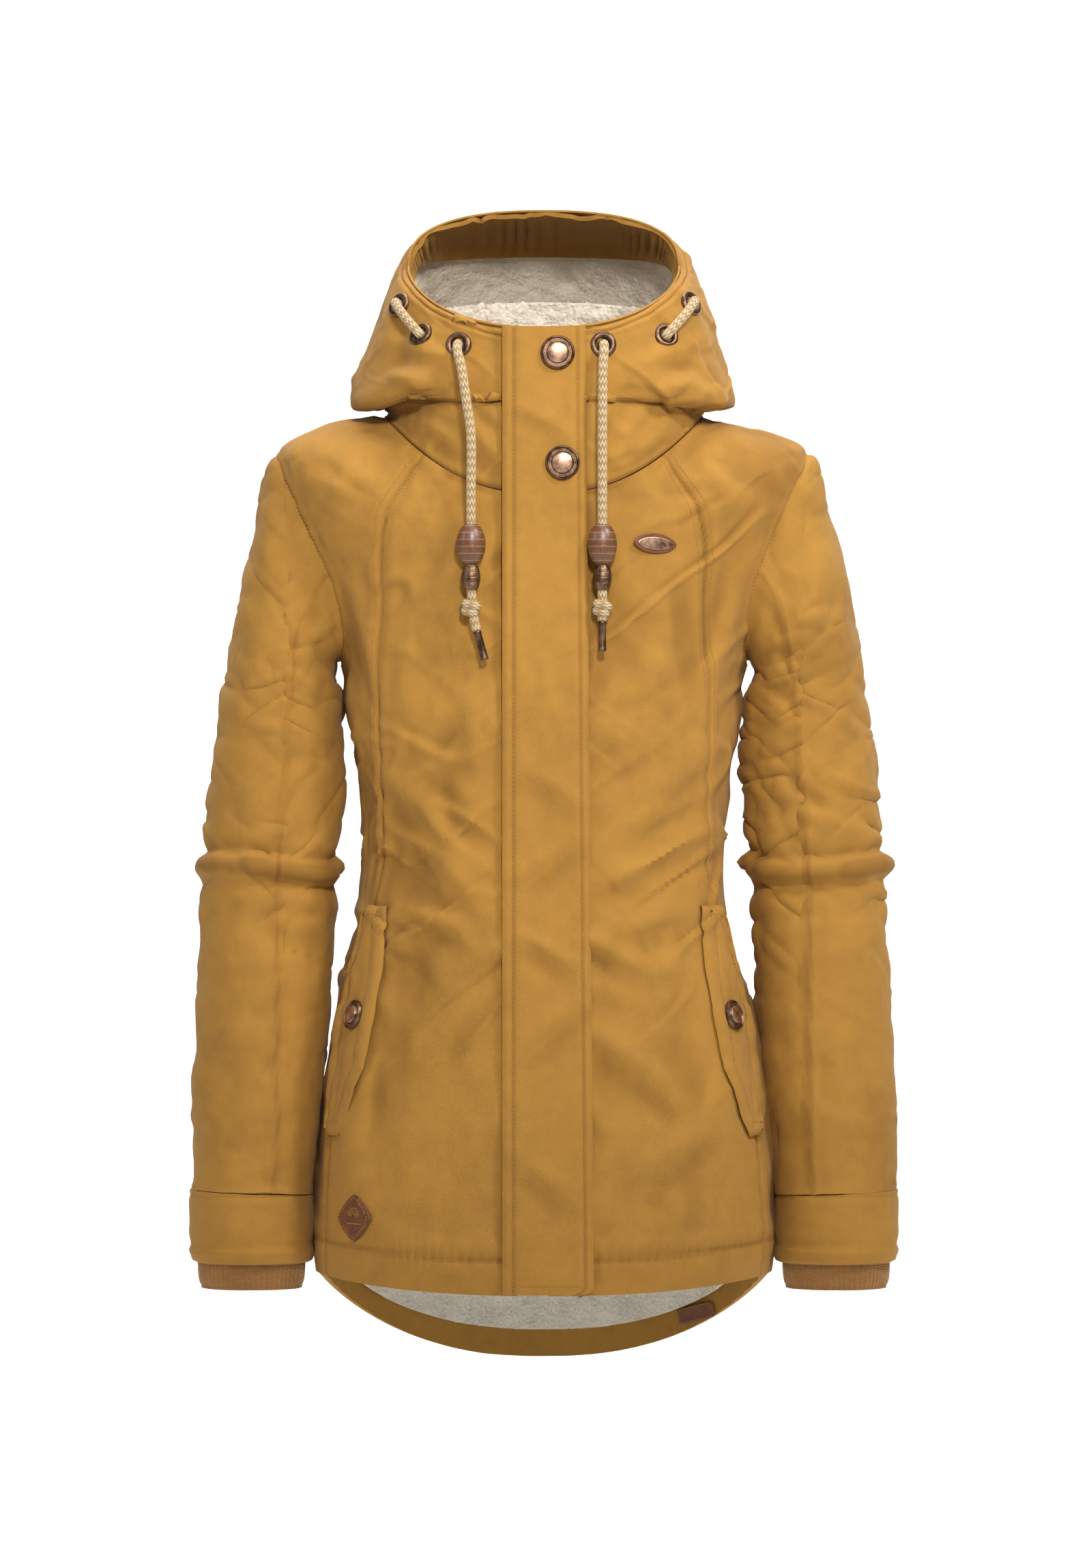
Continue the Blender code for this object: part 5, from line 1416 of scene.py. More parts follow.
coarse, theta, v, u = hood_grid(70, 180)
hold = np.zeros(coarse.shape[:2])
hold[:2] = 1.0
hold[-3:] = 1.0
hold[:, :3] = 1.0
hold[:, -3:] = 1.0
hold = np.maximum(hold, np.where(np.abs(v - 2) < 0.4, 1.0, 0))
draped = settle("hood_drape", coarse, hold, 0.02, 0.35, limit=0.004)
hat = resample(draped, HOOD_ROWS, HOOD_COLUMNS)
_, theta, v, u = hood_grid(HOOD_ROWS, HOOD_COLUMNS)
out = grid_normals(hat)
height = folds(hat, HOOD_FOLDS) * np.clip(-hat[..., 1] / 0.03, 0, 1) * 1.5
crinkle = value_noise(hat, 0.032, 41, 3)
height += 0.0020 * crinkle * np.abs(crinkle) + 0.0018 * value_noise(hat, 0.09, 43, 2)
crown_seam = np.minimum(np.abs(theta - math.radians(156)), np.abs(theta - math.radians(204))) * 0.11
height += 0.0024 * creases(hat, 121, 0.036, (0.28, 0.4, 1.0), 0.12, 0.6)
height += 0.0015 * creases(hat, 123, 0.022, (0.3, 0.4, 1.0), 0.14, -0.5)
height += np.where(v > 2, seam_press(crown_seam, 0.0013, 0.0010), 0)
height += seam_press((v - 2.0) * 0.02, 0.0014, 0.0010) + seam_press((v - 7.35) * 0.030, 0.0009, 0.0009)
centre_fade = np.clip(np.minimum(u, 1 - u) * 60, 0, 1)
hat = hat + out * (height * np.clip(v * 3, 0, 1) * centre_fade)[..., None]
hat_normals = grid_normals(hat)
# Painted shade: darker colour in the fold valleys, along the crown seams and the seam at row 2, and most
# along the neck seam at the hood's lower edge.
hood_painted_shade = np.clip(-height / 0.006, 0, 0.45) + np.where(v > 2, 0.7 * bump(crown_seam, 0.0013), 0)
hood_painted_shade += 0.6 * bump((v - 2.0) * 0.02, 0.0016) + 0.9 * bump(v, 0.10)
hat_uv = arc_uv(hat)
first_cut = int(0.25 * (HOOD_COLUMNS - 1) + (156 - 90) / 360 * (HOOD_COLUMNS - 1))
last_cut = HOOD_COLUMNS - 1 - first_cut
hood_parts = (("hood_left", slice(0, first_cut + 1), ("collar_front_left", "hood_side_left")),
              ("hood_top", slice(first_cut, last_cut + 1), ("hood_crown",)),
              ("hood_right", slice(last_cut, None), ("collar_front_right", "hood_side_right")))
for name, part, nodes in hood_parts:
    piece = cloth_piece(name, hat[:, part], SHELL, normals=hat_normals[:, part], uv=hat_uv[:, part],
                        painted_shade=hood_painted_shade[:, part])
    dress(piece, shell_cloth, "shell_fabric", None, *nodes)
    bend_hood(piece)


def on_hood(theta, v):
    """Points and normals on the draped hood."""
    theta, v = np.broadcast_arrays(np.asarray(theta, float), np.asarray(v, float))
    c = share_of(HOOD_RINGS, theta, v) * (HOOD_COLUMNS - 1)
    r = v / 8 * (HOOD_ROWS - 1)
    normal = sample(hat_normals, r, c)
    return sample(hat, r, c), normal / np.linalg.norm(normal, axis=-1, keepdims=True)


# %% Rim facing, fleece and stand
def inset(surface, theta, v, depth):
    """Points a depth inside a ring surface."""
    return surface(theta, v) - surface_normal(surface, theta, v) * np.asarray(depth)[..., None]


def pile(grid, wrap=False, height=0.0010, seed=51):
    """Tufts of fleece: two sizes of noise along the normals."""
    tuft = value_noise(grid, 0.0060, seed, 3) * height + value_noise(grid, 0.035, seed + 1, 2) * height * 2.2
    return grid + grid_normals(grid, wrap) * tuft[..., None]


u = np.linspace(0.004, 0.996, 520)[None, :] + np.zeros((34, 1))
deep = np.linspace(0, 1, 34)[:, None] + np.zeros((1, 520))
theta = spread(HOOD_RINGS, u, 8.0 + 0 * u)
v = 8.0 - (0.55 + 0.85 * (1 - np.cos(theta)) / 2) * deep
pucker = np.sin(u * 420 + 2.5 * np.sin(u * 61)) * (0.5 + 0.5 * np.sin(u * 37 + 1.0))
roll = 0.0100 + 0.0025 * np.abs(np.sin(theta))
depth = 0.0010 + roll * np.sin(deep * np.pi * 0.5) - 0.0020 * pucker * np.sin(deep * np.pi)
facing = inset(hood, theta, v, depth)
facing[..., 2] += 0.0024 * bump(deep, 0.16)
piece = cloth_piece("rim_facing", facing[:, ::-1], 0.0016)
dress(piece, facing_cloth, "shell_fabric", None)
bend_hood(piece)

theta = np.radians(np.linspace(40, 320, 330))[None, :] + np.zeros((110, 1))
top_row = 7.62 - 0.85 * (1 - np.cos(theta)) / 2
v = top_row + (3.2 - top_row) * np.linspace(0, 1, 110)[:, None]
depth = 0.0078 + 0.0020 * np.abs(np.sin(theta))
inside = pile(inset(hood, theta, v, depth))
piece = cloth_piece("hood_fleece", inside, 0.0028)
dress(piece, fleece, "fleece", None, "hood_lining")
bend_hood(piece)

theta = np.radians(np.linspace(54, 306, 330))[None, :] + np.zeros((90, 1))
v = np.linspace(0, 2, 90)[:, None] + np.zeros((1, 330))
stand = shell(STAND_RINGS, theta, v)
piece = cloth_piece("neck_fleece", pile(stand, seed=55), 0.0048)
dress(piece, fleece, "fleece", "jacket", "stand_collar")
print("hood and linings done")

# %% Hood stitching
arc = np.radians(np.linspace(4, 356, 900))
arc = np.where(arc > np.pi, arc - 2 * np.pi, arc)
lines = [on_hood(arc, np.full(900, 7.30)), on_hood(arc, np.full(900, 1.86))]
up = np.linspace(2.1, 7.9, 300)
for degrees in (153.6, 158.4, -153.6, -158.4):
    lines.append(on_hood(np.full(300, math.radians(degrees)), up))
seams = stitching("hood_stitches", lines, None)
bend_hood(seams)

# %% [markdown]
# ## Hem lining
# Inside the hem a band of fleece lines the coat. The back drops lower than the front, so from the front one
# sees its inner side: a turned-up strip of shell cloth at the very edge and the fleece above it.

# %% Hem fleece
rows_in = np.linspace(0.24, 7.0, 120)[:, None]
theta = np.linspace(math.radians(11), 2 * np.pi - math.radians(11), 360)[None, :] + 0 * rows_in
v = rows_in + 0 * theta
lining = inset(body, theta, v, 0.0078 + 0.0050 * np.clip(v - 0.5, 0, 1))
lining = pile(lining, height=0.0008, seed=61)
piece = cloth_piece("body_fleece", lining, 0.0026)
dress(piece, hem_fleece, "fleece", "jacket", "body_lining")
turn_up = np.linspace(0.0, 0.34, 20)[:, None]
theta = np.linspace(math.radians(8), 2 * np.pi - math.radians(8), 360)[None, :] + 0 * turn_up
strip = inset(body, theta, turn_up + 0 * theta, 0.0046 + 0.0006 * np.sin(theta * 60))
piece = cloth_piece("hem_turn_up", strip[:, ::-1], 0.0014)
dress(piece, facing_cloth, "shell_fabric", "jacket")
for side, sign in SIDES:
    theta = np.radians(np.linspace(36, 74, 50))[None, :] + np.zeros((60, 1))
    v = np.linspace(1.0, 3.0, 60)[:, None] + 0 * theta
    bag = inset(body, theta, v, 0.0060 - 0.0006 * value_noise(body(theta, v), 0.03, 63, 2))
    bag = bag if sign > 0 else mirror_x(bag, wrap=False)
    piece = cloth_piece("pocket_pouch_" + side, bag, 0.0010)
    dress(piece, tape_cloth, "pocket_cloth", "jacket", "pocket_bag_" + side)
print("linings done")
# %% [markdown]
# ## Storm flap and zip
# A flat strip of doubled cloth covers the zip. It is sewn down along the wearer's right edge and snapped
# shut over the left. The zip below it is real: two tapes and two rows of coil, with the slider at the top.

# %% Storm flap
FLAP_FREE_HEM, FLAP_FREE_TOP = 0.0385, 0.0322


def bend_flap(obj):
    """Bakes the piece's transform into its mesh."""
    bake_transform(obj)


FLAP_FOLDS = (
    (-0.020, 0.330, 0.030, 0.300, 0.0016, 0.007), (-0.022, 0.370, 0.020, 0.400, 0.0014, 0.008),
    (-0.018, 0.240, 0.030, 0.280, 0.0014, 0.008), (-0.020, 0.460, 0.026, 0.430, 0.0012, 0.008),
    (-0.020, 0.160, 0.026, 0.120, 0.0012, 0.008), (-0.022, 0.735, 0.020, 0.715, 0.0012, 0.006))


def flap_grid(rows, columns):
    """The flap's outer face: x between its edges with a rounded lower corner, y just before the coat."""
    z = np.linspace(HEM_FRONT_Z + 0.001, RIM_FRONT_Z + 0.0035, rows)[:, None] + np.zeros((1, columns))
    share = np.linspace(0, 1, columns)[None, :] + np.zeros((rows, 1))
    free = np.interp(z, (HEM_FRONT_Z, RIM_FRONT_Z), (FLAP_FREE_HEM, FLAP_FREE_TOP))
    corner = 0.007
    drop = np.clip(corner - (z - HEM_FRONT_Z - 0.001), 0, corner)
    free = free - (corner - np.sqrt(corner ** 2 - drop ** 2))
    x = FLAP_HINGE_X + (free - FLAP_HINGE_X) * share
    from_free, from_hinge = free - x, x - FLAP_HINGE_X
    lift = 0.0052 + 0.0012 * (1 - (2 * share - 1) ** 6)
    lift = lift - 0.0026 * bump(from_free, 0.0016) - 0.0010 * bump(from_hinge, 0.0020)
    point = np.stack([x, front_y(z), z], axis=-1)
    lift += seam_press(from_free - 0.0065, 0.0007, 0.0004, 0.0014, 0.005)
    lift += seam_press(from_hinge - 0.0085, 0.0008, 0.0004, 0.0014, 0.005)
    lift += 0.0009 * value_noise(point * np.array([1, 1, 0.5]), 0.030, 71, 3)
    waves = 0.0016 * np.sin(z * 34 + 0.7) * bump(from_free, 0.014) * np.clip((0.66 - z) * 20, 0, 1)
    ripples = folds(point, FLAP_FOLDS)
    point[..., 1] -= lift + waves * 0.6 + ripples * FOLD_STRENGTH
    # Painted shade: darker colour along the two stitch lines and in the valleys of the ripples.
    dark = 0.35 * bump(from_free - 0.0065, 0.0013) + 0.4 * bump(from_hinge - 0.0085, 0.0013)
    return point, free, z, dark + np.clip(-ripples / 0.002, 0, 0.4)


flap, free, flap_z, flap_painted_shade = flap_grid(420, 60)
flap_normals = grid_normals(flap)
piece = cloth_piece("storm_flap_cloth", flap, 0.0036, normals=flap_normals, painted_shade=flap_painted_shade)
dress(piece, shell_cloth, "shell_fabric", None, "storm_flap")
bend_flap(piece)


def flap_line(x_from_free=None, x_from_hinge=None, first=0.0, last=1.0):
    """A stitch line up the flap at a distance from one of its edges."""
    r = np.linspace(first, last, 700) * 419
    edge = np.interp(r, np.arange(420), free[:, 0])
    x = edge - x_from_free if x_from_free is not None else FLAP_HINGE_X + x_from_hinge + 0 * edge
    c = (x - FLAP_HINGE_X) / (edge - FLAP_HINGE_X) * 59
    return sample(flap, r, c), sample(flap_normals, r, c)


across = np.linspace(5, 50, 60)
hem_row = np.full(60, 4.0)
hem_line = (sample(flap, hem_row, across), sample(flap_normals, hem_row, across))
flap_lines = [flap_line(x_from_free=0.0065, first=0.009), flap_line(x_from_hinge=0.0085), hem_line]
stitches = stitching("flap_stitches", flap_lines, None)
bend_flap(stitches)

# %% Zip
zip_z = np.linspace(HEM_FRONT_Z + 0.004, 0.785, 260)[:, None]
for side, sign in SIDES:
    inner, outer = ZIP_X + sign * 0.0012, ZIP_X + sign * ZIP_HALF
    x = np.linspace(min(inner, outer), max(inner, outer), 12)[None, :] + 0 * zip_z
    tape = np.stack([x, front_y(zip_z + 0 * x) + 0.0044 + 0.0001 * np.sin(x * 5000), zip_z + 0 * x], axis=-1)
    piece = cloth_piece("zip_tape_" + side + "_cloth", tape, 0.0010)
    dress(piece, tape_cloth, "zip_tape", "jacket", "zip_tape_" + side)
    turns = 330
    t = np.linspace(0, turns, turns * 8)
    low, top = HEM_FRONT_Z + 0.006, 0.752
    z = low + (top - low) * t / turns + (0.0011 if sign > 0 else 0.0)
    coil = np.stack([ZIP_X + sign * (0.0012 + 0.0013 * np.cos(2 * np.pi * t)), front_y(z) + 0.0034
                     + 0.0009 * np.sin(2 * np.pi * t), z], axis=1)
    teeth = tube_object("zip_coil_" + side, coil, np.full(len(coil), 0.00038), 5)
    dress(teeth, bronze, "zip_tape", "jacket")
for name, material in (("zip_slider", bronze), ("zip_pull", copper)):
    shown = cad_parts[name]
    shown.data.materials.clear()
    shown.data.materials.append(material)
print("zip and storm flap done")

# %% [markdown]
# ## Snaps and eyelets
# The snaps are turned metal: a domed centre, a sunken ring and a rolled rim, rubbed bright where fingers
# press. Where a real cap carries lettering, this one has a plain ring of fine dots. The eyelets are rolled
# rings in a darker metal.

# %% Snap caps and eyelets
def snap(name, place, facing, body_name, node_name, radius=0.0125):
    """A snap cap from its profile, with its dots as one small mesh round the sunken ring."""
    t = np.linspace(0, 1, 14)
    dome = np.stack([radius * 0.60 * np.sin(t * np.pi / 2), 0.0030 + 0.0013 * np.cos(t * np.pi / 2)], axis=1)
    rim = np.array([[0.62, 0.0022], [0.65, 0.0017], [0.83, 0.0017], [0.86, 0.0024], [0.905, 0.0030],
                    [0.95, 0.0028], [0.985, 0.0018], [1.0, 0.0008], [0.995, 0.0], [0.5, 0.0], [0.0, 0.0]])
    profile = np.concatenate([dome, rim * np.array([radius, 1.0])])[::-1]
    cap = lathe_object(name, profile, place, facing, 72)
    dress(cap, copper, "antique_copper", body_name, node_name)
    cap.data.materials.append(bronze)
    radius_at = np.empty(len(cap.data.polygons) * 3)
    cap.data.polygons.foreach_get("center", radius_at)
    offset = radius_at.reshape(-1, 3) - SHIFT - np.asarray(place)
    across = offset - np.outer(offset @ np.asarray(facing), np.asarray(facing))
    span = np.linalg.norm(across, axis=1)
    cap.data.polygons.foreach_set("material_index", (span > radius * 0.60).astype(np.int32))
    angle = np.linspace(0, 2 * np.pi, 24, endpoint=False)
    turn = np.array(Vector(facing).to_track_quat("Z", "Y").to_matrix())
    dots_at = 0.74 * radius
    spots = np.stack([dots_at * np.cos(angle), dots_at * np.sin(angle), np.full(24, 0.0017)], 1) @ turn.T
    lobe = np.array([[1, 0, 0], [0, 1, 0], [-1, 0, 0], [0, -1, 0], [0, 0, 1.0], [0, 0, -0.6]])
    lobe = lobe * 0.00042 @ turn.T
    verts = (spots[:, None] + lobe[None]).reshape(-1, 3) + np.asarray(place)
    faces = np.array([[0, 1, 4, 4], [1, 2, 4, 4], [2, 3, 4, 4], [3, 0, 4, 4], [1, 0, 5, 5], [2, 1, 5, 5],
                      [3, 2, 5, 5], [0, 3, 5, 5]])
    mesh = bpy.data.meshes.new(name + "_dots")
    triangles = (faces[None, :, :3] + (np.arange(24) * 6)[:, None, None]).reshape(-1, 3)
    mesh.from_pydata((verts + SHIFT).tolist(), [], triangles.tolist())
    dots = bpy.data.objects.new(name + "_dots", mesh)
    bpy.context.scene.collection.objects.link(dots)
    dress(dots, copper, "antique_copper", body_name)
    return cap


forward = np.array([0, -1, FRONT_LEAN]) / math.hypot(1, FRONT_LEAN)
for name, x, z in (("chin", 0.0106, 0.777), ("chest", 0.0143, 0.692)):
    c = (x - FLAP_HINGE_X) / (np.interp(z, flap_z[:, 0], free[:, 0]) - FLAP_HINGE_X) * 59
    r = np.interp(z, flap_z[:, 0], np.arange(420))
    place = sample(flap, np.array([r]), np.array([c]))[0] + forward * 0.0002
    snap("snap_" + name, place, forward, "storm_flap", "snap_cap_" + name, 0.0133)
    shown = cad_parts["snap_stud_" + name]
    shown.data.materials.clear()
    shown.data.materials.append(bronze)


def eyelet(name, place, facing, node_name):
    """A rolled ring: a half-round lip between the outer edge and the hole."""
    t = np.linspace(0, np.pi, 12)
    lip = np.stack([0.00765 + 0.00245 * np.cos(t), 0.0004 + 0.0022 * np.sin(t)], axis=1)
    profile = np.concatenate([[[0.0102, -0.0006]], lip, [[0.0052, -0.0006]], [[0.0102, -0.0006]]])[::-1]
    ring = lathe_object(name, profile, place, facing, 64)
    return dress(ring, bronze, "dark_metal", None, node_name)


# Painted shadow: a near-black disc sits in each eyelet's hole in place of the shade inside it.
hole_shadow = finish("eyelet_hole_shadow", (0.02, 0.014, 0.01), 0.9)[0]
EYELETS = {"side": (0.0935, 0.7915), "upper": (0.1105, 0.8170)}
for side, sign in SIDES:
    spots = {}
    for key in ("front", "side", "upper"):
        x, z = (abs(EYELET_X[side]), EYELET_HEIGHT) if key == "front" else EYELETS[key]
        theta, v = solve_front(HOOD_RINGS, x, z, 8)
        point, normal = [value.reshape(-1, 3)[0] for value in on_hood(theta * sign, v)]
        spots[key] = (point, normal)
        ring = eyelet("eyelet_" + key + "_ring_" + side, point + normal * 0.0004, normal,
                      "eyelet_" + key + "_" + side)
        # Painted shadow disc for the hole.
        disc = lathe_object("eyelet_" + key + "_hole_" + side,
                            [(0.0, 0.0), (0.0053, 0.0), (0.0053, 0.0004), (0.0, 0.0004)],
                            point + normal * 0.0001, normal, 32)
        disc.data.materials.append(hole_shadow)
        if key == "front":
            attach(ring, "jacket")
            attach(disc, "jacket")
        else:
            bend_hood(ring)
            bend_hood(disc)
    (low, low_n), (high, high_n) = spots["side"], spots["upper"]
    middle = (low + high) / 2 + (low_n + high_n) / 2 * 0.0095
    route = [low - low_n * 0.0005, low + low_n * 0.0050, middle, high + high_n * 0.0050,
             high - high_n * 0.0005]
    loop_path = smooth_path(route, 0.0012)
    loop = tube_object("rim_cord_" + side, loop_path, np.full(len(loop_path), CORD_RADIUS), 20,
                       uv=tube_uv(loop_path, 20))
    dress(loop, cord_braid, "cord_yarn", None, "cord_loop_" + side)
    bend_hood(loop)
print("snaps and eyelets done")

# %% [markdown]
# ## Pockets
# Each pocket opens under a long leaf-shaped flap that is sewn along its outer edge and follows the hip. It
# is a grid between two edges that are read off heights, laid on the draped coat and lifted by its own
# padding, with topstitching a centimetre inside its free edges.

# %% Pocket flaps
POCKET_HEIGHTS = (0.1715, 0.1765, 0.2240, 0.2670, 0.2970, 0.3275, 0.3500)
POCKET_OUTER = (0.1655, 0.1680, 0.1650, 0.1598, 0.1530, 0.1440, 0.1362)
POCKET_INNER = (0.1570, 0.1542, 0.1340, 0.1250, 0.1220, 0.1212, 0.1190)


def pocket_spot(x, z):
    """Draped coat point and normal on the wearer's left at an x and a height."""
    theta, v = solve_front(BODY_RINGS, x, z, 14, math.radians(60))
    return on_coat(theta, v)


for side, sign in SIDES:
    z = np.linspace(0.1715, 0.3500, 90)[:, None] + np.zeros((1, 34))
    share = np.linspace(0, 1, 34)[None, :] + np.zeros((90, 1))
    inner = np.interp(z, POCKET_HEIGHTS, POCKET_INNER)
    outer = np.interp(z, POCKET_HEIGHTS, POCKET_OUTER)
    x = inner + (outer - inner) * share
    base, up = pocket_spot(np.minimum(x, 0.1705), z)
    base = base * np.array([sign, 1, 1])
    up = up * np.array([sign, 1, 1])
    border = np.minimum(np.minimum((x - inner), (outer - x)), np.minimum(z - 0.1715, 0.3500 - z))
    lift = 0.0024 + 0.0026 * np.clip(border / 0.004, 0, 1) ** 0.5 + 0.0010 * np.clip(border / 0.018, 0, 1)
    lift = lift + seam_press(border - 0.0085, 0.0009, 0.0003, 0.0014, 0.005)
    lift = lift + 0.0006 * value_noise(base, 0.025, 81, 3)
    leaf = base + up * lift[..., None]
    if sign < 0:
        leaf = leaf[:, ::-1]
    normals = grid_normals(leaf)
    piece = cloth_piece("pocket_leaf_" + side, leaf, 0.0030, normals=normals)
    dress(piece, shell_cloth, "shell_fabric", "pocket_flap_" + side, "pocket_flap_" + side)
    widths = (outer - inner)[:, 0]
    lines = []
    for edge_side in (0, 1):
        r = np.linspace(5.5, 84.5, 300)
        inset_share = 0.0085 / np.interp(r, np.arange(90), widths)
        c = np.clip(inset_share, 0, 0.45) * 33
        c = c if edge_side == 0 else 33 - c
        lines.append((sample(leaf, r, c), sample(normals, r, c)))
    for r_at in (85.5, 5.0):
        c = np.linspace(9, 24, 60)
        lines.append((sample(leaf, np.full(60, r_at), c), sample(normals, np.full(60, r_at), c)))
    stitching("pocket_stitches_" + side, lines, "pocket_flap_" + side)
    r_at = (0.2632 - 0.1715) / (0.3500 - 0.1715) * 89
    x_in = np.interp(0.2632, POCKET_HEIGHTS, POCKET_INNER)
    x_out = np.interp(0.2632, POCKET_HEIGHTS, POCKET_OUTER)
    c_at = (0.1395 - x_in) / (x_out - x_in) * 33
    c_at = c_at if sign > 0 else 33 - c_at
    spot = sample(leaf, np.array([r_at]), np.array([c_at]))[0]
    face = sample(normals, np.array([r_at]), np.array([c_at]))[0]
    face = face / np.linalg.norm(face)
    snap("snap_pocket_" + side, spot + face * 0.0002, face, "pocket_flap_" + side,
         "snap_cap_pocket_" + side, 0.0118)
    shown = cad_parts["snap_stud_pocket_" + side]
    shown.data.materials.clear()
    shown.data.materials.append(bronze)
print("pockets done")

# %% [markdown]
# ## Badges, patch and hanger loop
# The trims are generic: a pointed oval with a plain metal plate, a diamond with a stitched border and three
# arcs, a small blank label and a round woven patch. Each is a plate whose edge is a quarter round, carried
# round its outline.

# %% Plates
def plate(name, outline, thickness, place, facing, roll=0.0, dome=0.0, rings=7):
    """A plate: its outline shrinks to the middle in rings, the outermost two making a rounded edge."""
    outline = np.asarray(outline, float)
    edge = np.array([[1.0, 0.0], [1.0, 0.55], [0.985, 0.85], [0.95, 1.0]])
    inside = np.stack([np.linspace(0.9, 0.0, rings), np.ones(rings)], axis=1)
    steps = np.concatenate([edge, inside])
    share, level = steps[:, 0, None], steps[:, 1, None]
    height = level * thickness + dome * (1 - share ** 2) + 0 * outline[None, :, 0]
    verts = np.stack([outline[None, :, 0] * share, outline[None, :, 1] * share, height], axis=-1)
    verts = verts.reshape(-1, 3)
    back = np.zeros((len(outline), 3))
    verts = np.concatenate([back, verts])
    normal = np.asarray(facing, float) / np.linalg.norm(facing)
    side_axis = np.cross([0, 0, 1.0], normal)
    side_axis /= np.linalg.norm(side_axis)
    up = np.cross(normal, side_axis)
    c, s = math.cos(roll), math.sin(roll)
    x_axis, y_axis = side_axis * c + up * s, up * c - side_axis * s
    local = verts[:, :1] * x_axis + verts[:, 1:2] * y_axis + verts[:, 2:] * normal
    count = len(outline)
    obj = mesh_object(name, local + np.asarray(place), grid_quads(len(steps) + 1, count, wrap=True),
                      verts[:, :2])
    work = bmesh.new()
    work.from_mesh(obj.data)
    bmesh.ops.remove_doubles(work, verts=work.verts, dist=1e-7)
    bmesh.ops.recalc_face_normals(work, faces=work.faces)
    work.to_mesh(obj.data)
    work.free()
    obj.data.set_sharp_from_angle(angle=math.radians(40))
    return obj, (x_axis, y_axis, normal)


def outline_points(kind, half_x, half_z, count=96):
    """Pointed oval, rounded diamond or ellipse."""
    t = np.linspace(0, 2 * np.pi, count, endpoint=False)
    c, s = np.cos(t), np.sin(t)
    if kind == "diamond":
        power = 1.28
        size = (np.abs(c) ** power + np.abs(s) ** power) ** (-1 / power)
        return np.stack([half_x * c * size, half_z * s * size], axis=1)
    if kind == "label":
        size = (np.abs(c) ** 8 + np.abs(s) ** 8) ** (-1 / 8)
        return np.stack([half_x * c * size, half_z * s * size], axis=1)
    power = 1.25 if kind == "pointed" else 1.0
    return np.stack([half_x * c, half_z * np.sign(s) * np.abs(s) ** power], axis=1)


def plate_line(place, axes, points, lift):
    """A stitch line drawn on a plate in its own plane."""
    x_axis, y_axis, normal = axes
    line = place + points[:, :1] * x_axis + points[:, 1:] * y_axis + normal * lift
    return line, np.repeat(normal[None], len(points), 0)


def closed_line(points):
    """A closed outline with its first point repeated."""
    return np.concatenate([points, points[:1]])


theta, v = solve_front(BODY_RINGS, *CHEST_BADGE, 14)
point, normal = [value.reshape(-1, 3)[0] for value in on_coat(theta, v)]
base, axes = plate("chest_badge_leather", outline_points("pointed", 0.0178, 0.0078), 0.0016,
                   point + normal * 0.0004, normal, math.radians(-4))
dress(base, brown_leather, "leather", "jacket", "chest_badge_base")
top, _ = plate("chest_badge_metal", outline_points("pointed", 0.0150, 0.0050), 0.0010,
               point + normal * 0.0019,
               normal, math.radians(-4), 0.0005)
dress(top, copper, "antique_copper", "jacket", "chest_badge_plate")
t = np.linspace(0, 2 * np.pi, 120)
ring = closed_line(outline_points("pointed", 0.0130, 0.0036))
wave = np.stack([np.linspace(-0.0095, 0.0095, 60), 0.0013 * np.sin(np.linspace(0, 6 * np.pi, 60))], axis=1)
line, _ = plate_line(point, axes, wave, 0.0033)
engraving = tube_object("chest_badge_wave", line, np.full(60, 0.00022), 6)
dress(engraving, bronze, "antique_copper", "jacket")
border, _ = plate_line(point, axes, ring, 0.0031)
engraving = tube_object("chest_badge_border", border[:-1], np.full(96, 0.00020), 6, closed=True)
dress(engraving, bronze, "antique_copper", "jacket")

theta, v = solve_front(BODY_RINGS, *HEM_BADGE, 14, math.radians(60))
point, normal = [value.reshape(-1, 3)[0] for value in on_coat(theta, v)]
base, axes = plate("hem_badge_leather", outline_points("diamond", 0.0205, 0.0180), 0.0016,
                   point + normal * 0.0006, normal)
dress(base, brown_leather, "leather", "jacket", "hem_badge")
ring = closed_line(outline_points("diamond", 0.0176, 0.0154))
lines = [plate_line(point, axes, ring, 0.0022)]
stitching("hem_badge_stitches", lines)
for k, radius in enumerate((0.0032, 0.0052, 0.0072)):
    t = np.linspace(0.15, np.pi - 0.15, 40)
    arc_points = np.stack([radius * np.cos(t), radius * np.sin(t) + 0.0005], axis=1)
    line, _ = plate_line(point, axes, arc_points, 0.0022)
    piece = tube_object("hem_badge_arc_" + str(k), line, np.full(40, 0.00030), 6)
    dress(piece, thread, "leather", "jacket")
bar = np.stack([np.linspace(-0.0090, 0.0090, 20), np.full(20, -0.0045)], axis=1)
line, _ = plate_line(point, axes, bar, 0.0022)
piece = tube_object("hem_badge_bar", line, np.full(20, 0.00030), 6)
dress(piece, thread, "leather", "jacket")

theta = math.pi - float(angle_at_x(BODY_RINGS, 0.1250, np.array(0.0)))
inside_point = body(np.array(theta), np.array(0.12))
normal = -surface_normal(body, np.array(theta), np.array(0.12))
label, axes = plate("hem_label_leather", outline_points("label", 0.0170, 0.0065), 0.0009,
                    inside_point + normal * 0.0066, normal,
                    math.radians(14))
dress(label, brown_leather, "leather", "jacket", "hem_label")
ring = closed_line(outline_points("label", 0.0155, 0.0052))
stitching("hem_label_stitches", [plate_line(inside_point + normal * 0.0066, axes, ring, 0.0010)])

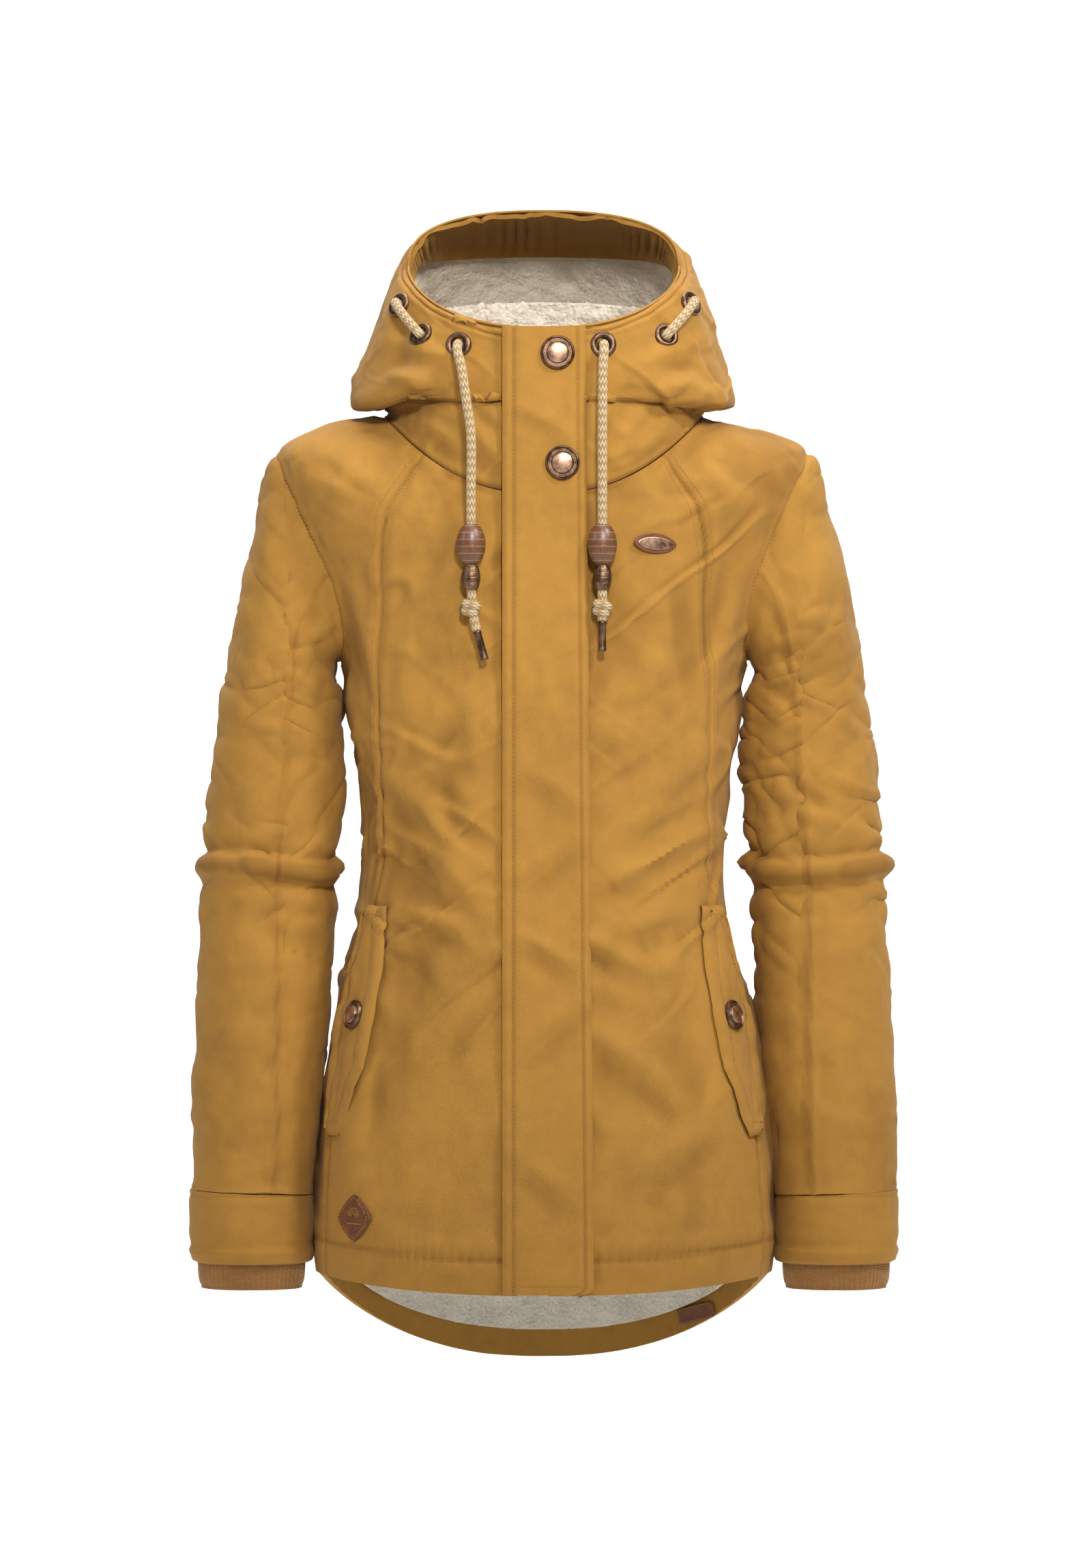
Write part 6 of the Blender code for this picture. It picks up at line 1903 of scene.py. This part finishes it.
whole, normals, split = sleeve_grids["left"]
row_at = int(np.argmin(np.abs(whole[:, 0, 2] - 0.576)))
spot, face = whole[row_at, 0], normals[row_at, 0]
patch, axes = plate("woven_patch", outline_points("disc", 0.0165, 0.0165), 0.0014, spot + face * 0.0004, face)
dress(patch, patch_cloth, "woven_patch", "sleeve_upper_left", "sleeve_patch")
circle = np.stack([0.0158 * np.cos(np.linspace(0, 2 * np.pi, 90, endpoint=False)),
                   0.0158 * np.sin(np.linspace(0, 2 * np.pi, 90, endpoint=False))], axis=1)
line, _ = plate_line(spot, axes, circle, 0.0012)
edge = tube_object("patch_border", line, np.full(90, 0.0010), 8, closed=True)
dress(edge, patch_cloth, "woven_patch", "sleeve_upper_left")
rays = []
for k in range(8):
    angle = k * math.pi / 4
    along = np.linspace(0.004, 0.011, 12)
    spoke = np.stack([along * math.cos(angle), along * math.sin(angle)], axis=1)
    rays.append(plate_line(spot, axes, spoke, 0.0020))
stitching("patch_star", rays, "sleeve_upper_left")

# %% Hanger loop
LOOP_HALF_X, LOOP_HALF_Z, LOOP_STRAP = 0.030, 0.0090, 0.0035
low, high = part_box("hanger_loop")
loop_centre = (np.array(low) + np.array(high)) / 2 - SHIFT
t = np.linspace(0, 2 * np.pi, 120, endpoint=False)
c, s = np.cos(t), np.sin(t)
size = (np.abs(c) ** 7 + np.abs(s) ** 7) ** (-1 / 7)
centre_x, centre_z = (LOOP_HALF_X - LOOP_STRAP / 2) * c * size, (LOOP_HALF_Z - LOOP_STRAP / 2) * s * size
path = np.stack([loop_centre[0] + centre_x, np.full(120, loop_centre[1]), loop_centre[2] + centre_z], axis=1)
ribbon = sweep(path, np.full(120, LOOP_STRAP / 2), 12, closed=True)
offset = ribbon - path[:, None]
ribbon[..., 1] = path[:, None, 1] + offset[..., 1] * 0.36
stations, sides = ribbon.shape[:2]
j, i = np.meshgrid(np.arange(stations), np.arange(sides), indexing="ij")
n, k = (j + 1) % stations, (i + 1) % sides
quads = np.stack([j * sides + i, j * sides + k, n * sides + k, n * sides + i], -1).reshape(-1, 4)
loop = mesh_object("hanger_ribbon", ribbon.reshape(-1, 3), quads)
dress(loop, facing_cloth, "shell_fabric", "jacket", "hanger_loop")
print("trims done")
